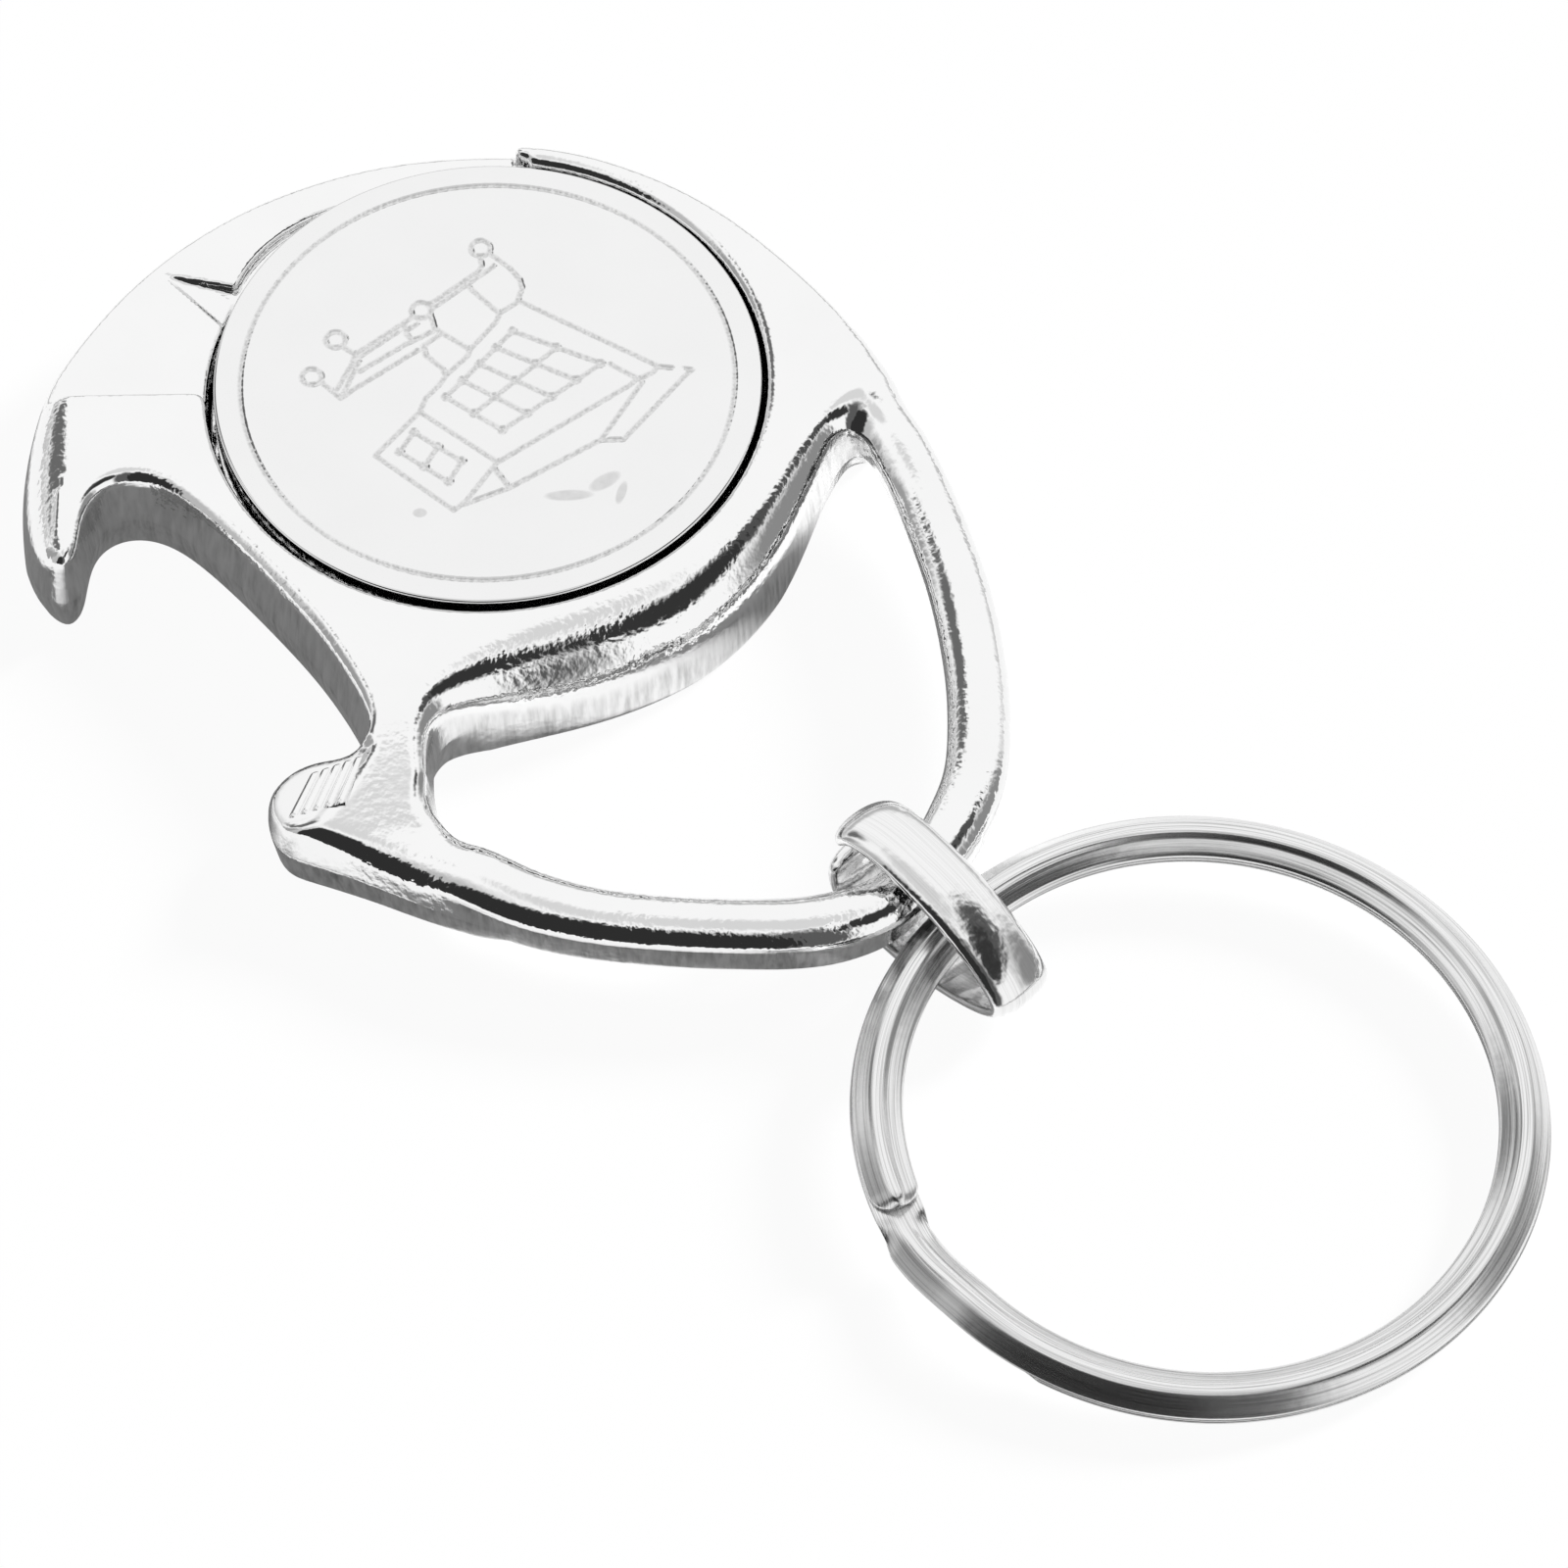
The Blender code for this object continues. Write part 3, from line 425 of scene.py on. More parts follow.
class HolderSizes(bpy.types.PropertyGroup):
    """Sizes of the cast holder."""

    spacing: length("Grid spacing", "Distance between the points of the casting's grid", 0.00018)
    pocket_radius: length("Pocket radius", "Radius of the coin pocket", 0.012)
    wall_radius: length("Wall radius", "Radius of the pocket's wall round the coin", 0.01185)
    wall_x: length("Wall x", "How far the pocket's wall lies off the axis in x", -0.0001)
    wall_y: length("Wall y", "How far the pocket's wall lies off the axis in y", -0.00003)
    pocket_floor: length("Pocket floor", "Height of the pocket's floor", 0.0024)
    thickness: length("Thickness", "Height of the raised rim above the back", 0.0051)
    platform: length("Platform", "Height of the low platform", 0.0041)
    back_rounding: length("Back rounding", "Height of the rounded back edge", 0.0008)
    rim_rounding: length("Rim rounding", "Blend between the pocket's wall and the rim", 0.0006)
    parting_height: length("Parting height", "Height of the parting line on the flanks", 0.0023)
    flank_lean: angle("Flank lean", "Draft of the flanks above the parting line", 7)
    tongue_lean: angle("Tongue lean", "Draft of the tongue's flank above the parting line", 19)
    flank_tuck: angle("Flank tuck", "Draft of the flanks below the parting line", 9)
    step_edge: length("Step edge", "Place of the step beside the hook", -0.00042)
    step_corner: length("Step corner", "Radius of the step's corner at the pocket", 0.0008)
    rim_end_x: length("Rim end", "Place of the raised rim's end", 0.00156)
    rim_end_y: length("Rim end middle", "Middle of the raised rim's end", 0.01248)
    rim_end_radius: length("Rim end radius", "Radius of the raised rim's rounded end", 0.0005)
    seat_radius: length("Seat radius", "Radius of the magnet's seat", 0.0043)
    seat_floor: length("Seat floor", "Height of the magnet seat's floor", 0.001)
    bar_radius: length("Bar radius", "Radius of the key loop's bar", 0.00146)
    bar_height: length("Bar height", "Height of the bar's middle at the link", 0.0029)
    bar_squareness: bpy.props.FloatProperty(
        name="Bar squareness",
        description="Power of the bar's section: 2 is a circle, more is squarer",
        default=2.1,
    )
    bar_blend: length("Bar blend", "Fillet between the bar and the body", 0.0016)
    nose_rise: angle("Nose rise", "Slope of the underside where the bar leaves the tongue", 6)
    tongue_blend: length("Tongue blend", "Fillet between the bar and the tongue", 0.0006)
    notch_depth: length("Notch depth", "Depth of the nail notch at its hinge line", 0.00015)
    notch_tilt: angle("Notch tilt", "Slope of the nail notch's floor", 11)
    crescent_radius: length("Crescent radius", "Radius of the nail groove's outer edge", 0.0065)
    crescent_reach: length("Crescent reach", "How far the groove's middle is from the axis", 0.006)
    crescent_floor: length("Crescent floor", "Height of the nail groove's floor", 0.0036)
    crescent_angle: angle("Crescent angle", "Direction of the nail groove", 141)
    neck: length("Neck", "Where the tongue's slope starts", -0.01716)
    tongue_slope: angle("Tongue slope", "Slope of the tongue's top behind the neck", 11)
    pad_x: length("Pad root x", "Place of the thumb pad's root", -0.00522)
    pad_y: length("Pad root y", "Place of the thumb pad's root", -0.01992)
    pad_height: length("Pad height", "Height of the pad's plain slope at its root", 0.00462)
    pad_slope: angle("Pad slope", "Slope of the thumb pad", 26)
    pad_heading: angle("Pad heading", "Direction in which the pad slopes down", 156)
    rib_depth: length("Rib depth", "Height of the pad's ribs", 0.00013)
    undercut_start: length("Undercut start", "Where the tongue's underside starts to rise", 0.0016)
    undercut: angle("Undercut", "Slope of the tongue's underside", 20)


class CoinSizes(bpy.types.PropertyGroup):
    """Sizes of the trolley coin."""

    radius: length("Radius", "Outer radius", 0.0116)
    bottom: length("Bottom", "Height of the coin's back in the pocket", 0.0027)
    thickness: length("Thickness", "Thickness of the coin", 0.0021)
    edge: length("Edge", "Rounding of the coin's edges", 0.00014)
    groove_radius: length("Groove radius", "Radius of the fine groove round the face", 0.01045)
    groove_width: length("Groove width", "Width of the fine groove", 0.00034)
    groove_depth: length("Groove depth", "Depth of the fine groove", 0.00006)
    stroke_width: length("Stroke width", "Width of the engraved strokes", 0.00023)
    stroke_depth: length("Stroke depth", "Depth of the engraved strokes", 0.00005)
    shift_x: length("Shift x", "How far the coin lies off the pocket's middle", -0.00004)
    shift_y: length("Shift y", "How far the coin lies off the pocket's middle", 0.00013)
    wheel_radius: length("Wheel radius", "Radius of the engraved wheels", 0.00042)


class LinkSizes(bpy.types.PropertyGroup):
    """Sizes and place of the band link."""

    width: length("Width", "Width of the band", 0.0031)
    stock: length("Stock", "Thickness of the band", 0.0008)
    half_height: length("Half height", "Half the height of the band's middle line", 0.00228)
    back_reach: length("Back reach", "How far the band reaches behind the bar", 0.00328)
    front_reach: length("Front reach", "How far the band reaches in front of the bar", 0.00649)
    x: length("Pivot x", "Place of the pivot on the bar", 0.01728)
    y: length("Pivot y", "Place of the pivot on the bar", -0.0249)
    z: length("Pivot z", "Place of the pivot on the bar", 0.0029)
    heading: angle("Heading", "Direction of the link away from the holder", -45)
    droop: angle("Droop", "How far the link hangs down", 8)
    lean: angle("Lean", "How far the link leans sideways", 8)


class RingSizes(bpy.types.PropertyGroup):
    """Sizes and place of the split ring."""

    radius: length("Radius", "Radius of the wire's middle line", 0.0131)
    width: length("Wire width", "Width of one coil's section", 0.0021)
    coil: length("Coil height", "Height of one coil's section", 0.0008)
    gap: length("Gap", "Gap between the two coils", 0.00003)
    x: length("Pivot x", "Place of the wire inside the link", 0.01896)
    y: length("Pivot y", "Place of the wire inside the link", -0.026625)
    z: length("Pivot z", "Place of the wire inside the link", 0.002531)
    heading: angle("Heading", "Direction from the link to the ring's middle", -41)
    slope: angle("Slope", "How far the ring slopes down to the ground", 3.5)
    wedge: angle("Wedge", "Part of the turn in which the lower end tapers", 16)
    crossover: angle("Crossover", "Part of the turn in which the wire changes level", 24)
    crossover_place: angle("Crossover place", "Place of the crossover from the link", 62)


class FinishColours(bpy.types.PropertyGroup):
    """Colours of the metals and of the studio."""

    chrome: colour("Chrome", "Plating of the casting", (0.94, 0.94, 0.94))
    coin: colour("Coin", "Plating of the coin", (0.9, 0.9, 0.9))
    link: colour("Link", "Plating of the band link", (0.9, 0.9, 0.9))
    ring: colour("Ring", "Plating of the split ring", (0.88, 0.88, 0.88))
    magnet: colour("Magnet", "Plating of the magnet", (0.62, 0.62, 0.60))
    floor: colour("Floor", "Pale floor", (0.9, 0.9, 0.9))


class KeyringSettings(bpy.types.PropertyGroup):
    """Everything that can be set on the keyring."""

    holder: bpy.props.PointerProperty(type=HolderSizes, name="Holder", description="Holder sizes")
    coin: bpy.props.PointerProperty(type=CoinSizes, name="Coin", description="Coin sizes")
    link: bpy.props.PointerProperty(type=LinkSizes, name="Link", description="Link sizes")
    ring: bpy.props.PointerProperty(type=RingSizes, name="Ring", description="Ring sizes")
    colours: bpy.props.PointerProperty(
        type=FinishColours, name="Colours", description="Colours of the finishes"
    )


# Curves and distances


def smooth_path(rows, steps, closed):
    """A Catmull-Rom curve: every point is the cubic-weighted sum of the four rows round it."""
    rows = np.asarray(rows, float)
    count = len(rows)
    first = np.arange(count if closed else count - 1)
    picked = [first + offset for offset in (-1, 0, 1, 2)]
    if closed:
        four = [rows[index % count] for index in picked]
    else:
        four = [rows[np.clip(index, 0, count - 1)] for index in picked]
    t = (np.arange(steps) / steps)[None, :, None]
    weights = (
        (-t + 2 * t**2 - t**3) / 2,
        (2 - 5 * t**2 + 3 * t**3) / 2,
        (t + 4 * t**2 - 3 * t**3) / 2,
        (-(t**2) + t**3) / 2,
    )
    points = sum(weight * row[:, None, :] for weight, row in zip(weights, four))
    points = points.reshape(-1, rows.shape[1])
    return points if closed else np.vstack([points, rows[-1]])


def even_out(points, reach):
    """A closed curve with every point replaced by the mean of its neighbours, twice over."""
    for _ in range(2):
        points = sum(np.roll(points, shift, axis=0) for shift in range(-reach, reach + 1))
        points = points / (2 * reach + 1)
    return points


def nearest_on_path(points, path, closed):
    """The foot of each point on a path, worked out in plan.

    The nearest vertex is found first, and then the foot on its two segments. Returns the
    distance, and the interpolated values of all the path's columns at the foot.
    """
    count = len(path)
    best = np.empty(len(points), int)
    block = 4096
    for start in range(0, len(points), block):
        part = points[start : start + block]
        gap_x = part[:, 0, None] - path[None, :, 0]
        gap_y = part[:, 1, None] - path[None, :, 1]
        best[start : start + block] = np.argmin(gap_x * gap_x + gap_y * gap_y, axis=1)
    feet = []
    for shift in (-1, 0):
        first = (best + shift) % count if closed else np.clip(best + shift, 0, count - 2)
        second = (first + 1) % count
        along = path[second, :2] - path[first, :2]
        share = np.sum((points - path[first, :2]) * along, axis=1)
        share = np.clip(share / np.maximum(np.sum(along * along, axis=1), 1e-18), 0, 1)[:, None]
        foot = path[first] * (1 - share) + path[second] * share
        feet.append((np.hypot(*(points - foot[:, :2]).T), foot))
    nearer = feet[0][0] < feet[1][0]
    distance = np.where(nearer, feet[0][0], feet[1][0])
    return distance, np.where(nearer[:, None], feet[0][1], feet[1][1])


def outline_distance(points, outline):
    """The signed distance to a closed anticlockwise outline, negative inside, and its columns."""
    ahead = np.roll(outline[:, :2], -1, axis=0) - np.roll(outline[:, :2], 1, axis=0)
    outward = np.column_stack([ahead[:, 1], -ahead[:, 0]])
    outward /= np.linalg.norm(outward, axis=1)[:, None]
    path = np.column_stack([outline, outward])
    distance, foot = nearest_on_path(points, path, True)
    side = np.sum((points - foot[:, :2]) * foot[:, -2:], axis=1)
    return np.where(side < 0, -distance, distance), foot


def smooth_min(a, b, blend):
    """The lesser of two distances, with a round fillet of the blend's width between them."""
    overlap = np.maximum(blend - np.abs(a - b), 0)
    return np.minimum(a, b) - overlap * overlap / (4 * blend)


def smooth_max(a, b, blend):
    """The greater of two distances, with the edge between them rounded over the blend."""
    return -smooth_min(-a, -b, blend)


def rolled_edge(side, top, width, height):
    """Two faces that meet in a quarter ellipse of the given width and height."""
    across = (side + width) / width
    up = (top + height) / height
    size = np.hypot(across, up) + 1e-9
    slope = np.hypot(across / width, up / height) / size + 1e-9
    corner = (size - 1) / slope
    return np.where((across > 0) & (up > 0), corner, np.maximum(side, top))


# The casting as a field of distances


def casting_field(sizes, x, y, z):
    """Signed distance to the casting on a grid, negative inside.

    The body is its outline with rolled edges, the bar is a tube along its route, and both join
    in a fillet. The underside rises towards the bar. The platform, the pocket, the magnet's
    seat, the nail groove, the notch and the thumb pad are taken away from them.
    """
    radius = sizes.pocket_radius
    flat_x, flat_y = (part.ravel() for part in np.meshgrid(x, y, indexing="ij"))
    columns = np.column_stack([flat_x, flat_y])
    shape = (len(x), len(y), 1)
    outline = smooth_path(BODY_OUTLINE_SHARES, OUTLINE_STEPS, True)
    outline = even_out(outline, OUTLINE_EVENING)
    outline[:, :3] *= radius
    outline[:, 3] *= sizes.back_rounding
    distance, foot = outline_distance(columns, outline)
    distance, roll, back = (part.reshape(shape) for part in (distance, foot[:, 2], foot[:, 3]))
    across, deep = x[:, None, None], y[None, :, None]
    high = z[None, None, :]
    behind_neck = ramp(sizes.neck - deep, SLOPE_ROUNDING)
    top = sizes.thickness - behind_neck * math.tan(sizes.tongue_slope)
    flank = distance + flank_inset(sizes, roll, deep, high)
    body = np.maximum(
        rolled_edge(flank, high - top, roll, roll * ROLL_HEIGHT),
        rolled_edge(flank, -high, back, sizes.back_rounding),
    )
    rise = (across - NOSE_START) * math.tan(sizes.nose_rise) - high
    body = smooth_max(body, np.minimum(rise, NOSE_BACK - deep), NOSE_ROUNDING)
    near_root = np.clip((across - FILLET_START) / FILLET_LENGTH, 0, 1)
    blend = sizes.tongue_blend + (sizes.bar_blend - sizes.tongue_blend) * near_root
    body = smooth_min(body, bar_field(sizes, columns, shape, high), blend)
    body = cut_platform(sizes, body, across, deep, high)
    body = cut_pocket(sizes, body, across, deep, high)
    body = cut_notch(sizes, body, across, deep, high)
    return cut_tongue(sizes, body, across, deep, high)


def flank_inset(sizes, roll, deep, high):
    """How far the flank leans in from the parting line: crisp outside and soft in the loop.

    The bend widens with the roll's breadth. Above the parting line the lean grows towards the
    tongue, and below it only flanks with a narrow roll are tucked in.
    """
    above = high - sizes.parting_height
    breadth = roll / sizes.pocket_radius - BROAD_ROLL
    soft = BROAD_BEND * np.clip(breadth / BEND_BREADTH, 0, 1)
    on_tongue = np.clip((sizes.neck - LEAN_START - deep) / LEAN_LENGTH, 0, 1)
    slope = math.tan(sizes.flank_lean)
    slope = slope + on_tongue * (math.tan(sizes.tongue_lean) - slope)
    lean = ramp(above, soft) * slope
    narrow = 1 - np.clip(breadth / TUCK_BREADTH, 0, 1)
    return lean + narrow * ramp(-above, soft) * math.tan(sizes.flank_tuck)


def ramp(value, softness):
    """Nothing below zero and the value itself above, with a soft bend over the softness."""
    return (value + np.sqrt(value * value + softness * softness)) / 2


def bar_field(sizes, columns, shape, high):
    """Distance to the loop's bar: from its middle line in plan and height, less its radius.

    Below an edge above its middle, the bar's sides are flat and tucked in.
    """
    route = smooth_path(LOOP_ROUTE_SHARES, ROUTE_STEPS, False)
    route[:, :2] *= sizes.pocket_radius
    route[:, 2] *= sizes.bar_height
    route[:, 3] *= sizes.bar_radius
    distance, foot = nearest_on_path(columns, route, False)
    distance, middle, thick = (part.reshape(shape) for part in (distance, foot[:, 2], foot[:, 3]))
    power = sizes.bar_squareness
    up = high - middle
    tube = (distance**power + np.abs(up) ** power) ** (1 / power) - thick
    beyond = (distance - BAR_SIDE * thick) * math.cos(sizes.flank_tuck)
    side = beyond - (up - BAR_SIDE_EDGE * thick) * math.sin(sizes.flank_tuck)
    return smooth_max(tube, side, BAR_ROUNDING)


def cut_platform(sizes, body, across, deep, high):
    """Lower the platform between the hook's step and the raised rim's rounded end."""
    radius = np.hypot(across, deep)
    rim_end = np.hypot(across - sizes.rim_end_x, deep - sizes.rim_end_y) - sizes.rim_end_radius
    rim = np.minimum(sizes.rim_end_x - across, rim_end)
    corner = sizes.step_corner
    wall = sizes.wall_radius - LEDGE - radius
    hook = rolled_edge(deep - sizes.step_edge, wall, corner, corner)
    right = np.where(deep < 0, np.minimum(deep, rim), rim)
    raised = np.where(across < 0, hook, right)
    above = smooth_min(high - sizes.platform, raised, STEP_ROUNDING)
    return smooth_max(body, above, STEP_ROUNDING)


def cut_pocket(sizes, body, across, deep, high):
    """The coin's pocket, the magnet's seat in its floor and the nail groove beside it."""
    radius = np.hypot(across, deep)
    on_rim = np.clip((high - sizes.platform) / (sizes.thickness - sizes.platform), 0, 1)
    blend = WALL_ROUNDING + (sizes.rim_rounding - WALL_ROUNDING) * on_rim
    round_coin = np.hypot(across - sizes.wall_x, deep - sizes.wall_y)
    pocket = np.minimum(sizes.wall_radius - round_coin, high - sizes.pocket_floor)
    body = smooth_max(body, pocket, blend)
    seat = np.minimum(sizes.seat_radius - radius, high - sizes.seat_floor)
    body = smooth_max(body, seat, WALL_ROUNDING)
    middle_x = sizes.crescent_reach * math.cos(sizes.crescent_angle)
    middle_y = sizes.crescent_reach * math.sin(sizes.crescent_angle)
    reach = np.hypot(across - middle_x, deep - middle_y)
    groove = np.minimum(sizes.crescent_radius - reach, high - sizes.crescent_floor)
    return smooth_max(body, groove, GROOVE_ROUNDING)


def cut_notch(sizes, body, across, deep, high):
    """The three-cornered nail notch: a triangle in plan with a floor that slopes down."""
    corners = [Vector(corner) * sizes.pocket_radius for corner in NOTCH_SHARES]
    sides = []
    for index, corner in enumerate(corners):
        along = (corners[(index + 1) % 3] - corner).normalized()
        sides.append((across - corner.x) * along.y - (deep - corner.y) * along.x)
    hinge = -sides[0]
    triangle = np.maximum(np.maximum(sides[0], sides[1]), sides[2])
    floor = sizes.platform - sizes.notch_depth - hinge * math.tan(sizes.notch_tilt)
    cut = np.minimum(-triangle, (high - floor) * math.cos(sizes.notch_tilt))
    return smooth_max(body, cut, NOTCH_ROUNDING)


def cut_tongue(sizes, body, across, deep, high):
    """Slope the tongue's top down as a thumb pad, and thin its tip from below.

    The pad is taken from a box that starts at the pad's root, and the tip from a wedge.
    """
    cosine, sine = math.cos(sizes.pad_heading), math.sin(sizes.pad_heading)
    run = (across - sizes.pad_x) * cosine + (deep - sizes.pad_y) * sine
    side = (deep - sizes.pad_y) * cosine - (across - sizes.pad_x) * sine
    beyond = np.maximum(np.maximum(PAD_RIGHT - side, side - PAD_LEFT), run - PAD_REACH)
    plane = sizes.pad_height - sizes.rib_depth - run * math.tan(sizes.pad_slope)
    plane = plane + PAD_FALL * ramp(PAD_EDGE - side, WALL_ROUNDING)
    pad = smooth_min(run, (high - plane) * math.cos(sizes.pad_slope), STEP_ROUNDING)
    body = smooth_max(body, np.minimum(pad, -beyond), WALL_ROUNDING)
    rise = (run - sizes.undercut_start) * math.tan(sizes.undercut)
    under = (rise - high) * math.cos(sizes.undercut)
    return smooth_max(body, np.minimum(under, -beyond), TIP_ROUNDING)


# From a field to a mesh


def pick(values, index):
    """The grid's values at rows of indices."""
    return values[index[:, 0], index[:, 1], index[:, 2]]


def crossing_cells(field):
    """Which grid points are inside, and the cells that the surface runs through.

    The cells come as a grid with each one's number, -1 in all others, and as a list.
    """
    inside = field < 0
    corners = [slice(None, -1), slice(1, None)]
    count = sum(
        inside[a, b, c].astype(np.int8) for a in corners for b in corners for c in corners
    )
    active = (count > 0) & (count < 8)
    number = np.full(active.shape, -1)
    number[active] = np.arange(np.count_nonzero(active))
    return inside, number, np.argwhere(active)


def cell_points(field, cells):
    """One point in each cell: the mean of the places where its edges cross the surface."""
    total = np.zeros((len(cells), 3))
    hits = np.zeros((len(cells), 1))
    for axis in range(3):
        unit = np.eye(3, dtype=int)[axis]
        for side in range(4):
            offset = np.insert([side % 2, side // 2], axis, 0)
            low, high = pick(field, cells + offset), pick(field, cells + offset + unit)
            crossed = ((low < 0) != (high < 0))[:, None]
            share = (low / np.where(low == high, 1, low - high))[:, None]
            total += np.where(crossed, offset + share * unit, 0)
            hits += crossed
    return cells + total / hits


def cell_faces(inside, number):
    """A face across every grid edge that crosses the surface, from the four cells round it."""
    faces = []
    for axis in range(3):
        unit = np.eye(3, dtype=int)
        u, v = unit[(axis + 1) % 3], unit[(axis + 2) % 3]
        low = [slice(1, -1)] * 3
        high = [slice(1, -1)] * 3
        low[axis], high[axis] = slice(0, -1), slice(1, None)
        changed = inside[tuple(low)] != inside[tuple(high)]
        edge = np.argwhere(changed) + 1 - unit[axis]
        solid_below = pick(inside, edge)[:, None]
        ring = [pick(number, edge - shift) for shift in (0 * u, u, u + v, v)]
        around = np.column_stack(ring)
        faces.append(np.where(solid_below, around, around[:, ::-1]))
    return np.vstack(faces)


def spline_weights(share):
    """Weights of four grid neighbours on a cubic B-spline, and the weights of its slope."""
    t = share
    weights = np.stack(
        [(1 - t) ** 3, 3 * t**3 - 6 * t**2 + 4, -3 * t**3 + 3 * t**2 + 3 * t + 1, t**3]
    )
    slopes = np.stack([-((1 - t) ** 2), 3 * t**2 - 4 * t, -3 * t**2 + 2 * t + 1, t**2])
    return weights / 6, slopes / 2


def field_at(field, points):
    """The field and its gradient between the grid's points, as a smooth cubic B-spline."""
    base = np.floor(points).astype(int)
    base = np.clip(base, 1, np.array(field.shape) - 3)
    weights, slopes = spline_weights(points - base)
    value = np.zeros(len(points))
    gradient = np.zeros((len(points), 3))
    for a in range(4):
        for b in range(4):
            for c in range(4):
                sample = pick(field, base + np.array([a - 1, b - 1, c - 1]))
                wx, wy, wz = weights[a, :, 0], weights[b, :, 1], weights[c, :, 2]
                value += sample * wx * wy * wz
                gradient[:, 0] += sample * slopes[a, :, 0] * wy * wz
                gradient[:, 1] += sample * wx * slopes[b, :, 1] * wz
                gradient[:, 2] += sample * wx * wy * slopes[c, :, 2]
    return value, gradient


def surface_of(field):
    """Points, normals and faces of the surface where a field is zero, in grid steps."""
    inside, number, cells = crossing_cells(field)
    points = cell_points(field, cells)
    faces = cell_faces(inside, number)
    for _ in range(4):
        value, gradient = field_at(field, points)
        step = value[:, None] * gradient / np.sum(gradient * gradient, axis=1)[:, None]
        points = points - np.clip(step, -0.5, 0.5)
    _, gradient = field_at(field, points)
    normals = gradient / np.linalg.norm(gradient, axis=1)[:, None]
    return points, normals, faces


# Meshes


def make_piece(name, points, faces, material, normals=None):
    """Put a mesh in the scene, with smooth shading and its own normals where they are given."""
    mesh = bpy.data.meshes.new(name)
    mesh.from_pydata(points.tolist(), [], [list(face) for face in faces])
    mesh.validate()
    mesh.shade_smooth()
    if normals is not None:
        mesh.normals_split_custom_set_from_vertices(normals.tolist())
    mesh.materials.append(material)
    piece = bpy.data.objects.new(name, mesh)
    bpy.context.scene.collection.objects.link(piece)
    return piece


def swept_faces(rows, ring):
    """Faces of a tube of rows of points, with a fan of triangles to one point at each end.

    They look outward where each row runs anticlockwise, seen against the tube's direction.
    """
    index = np.arange(rows * ring).reshape(rows, ring)
    beside = np.roll(index, -1, axis=1)
    sides = np.stack([index[:-1], beside[:-1], beside[1:], index[1:]], axis=-1).reshape(-1, 4)
    first, last = rows * ring, rows * ring + 1
    start = [(first, b, a) for a, b in zip(index[0], beside[0])]
    end = [(last, a, b) for a, b in zip(index[-1], beside[-1])]
    return sides.tolist() + start + end


def outward_along(path, side):
    """The direction outward from each point of a path, square to the path and to a side."""
    along = np.gradient(path, axis=0)
    along /= np.linalg.norm(along, axis=1)[:, None]
    outward = np.cross(along, side)
    return outward / np.linalg.norm(outward, axis=1)[:, None]


def ease_ends(share, start, end):
    """The section's scale along a path, round like a quarter circle over each end's share."""
    from_start = np.clip(share / start, 0, 1)
    from_end = np.clip((1 - share) / end, 0, 1)
    least = np.minimum(from_start, from_end)
    return np.sqrt(np.clip(1 - (1 - least) ** 2, 0, 1))


def to_world(points, place):
    """Points moved and turned by a matrix."""
    turn = np.array(place.to_3x3())
    return points @ turn.T + np.array(place.translation)


# Shader helpers


class Value:
    """A shader socket that adds a Math node when it is used in an expression."""

    def __init__(self, sheet, socket):
        self.sheet = sheet
        self.socket = socket

    def math(self, operation, *values):
        """A Math node that works on the given values or numbers."""
        return self.sheet.add("ShaderNodeMath", {"operation": operation}, dict(enumerate(values)))

    def __add__(self, other):
        return self.math("ADD", self, other)

    def __sub__(self, other):
        return self.math("SUBTRACT", self, other)

    def __rsub__(self, other):
        return self.math("SUBTRACT", other, self)

    def __mul__(self, other):
        return self.math("MULTIPLY", self, other)

    def __truediv__(self, other):
        return self.math("DIVIDE", self, other)

    def __pow__(self, other):
        return self.math("POWER", self, other)

    __radd__ = __add__
    __rmul__ = __mul__

    def clamp(self):
        """The value held between nothing and one."""
        return self.math("MINIMUM", self.math("MAXIMUM", self, 0.0), 1.0)


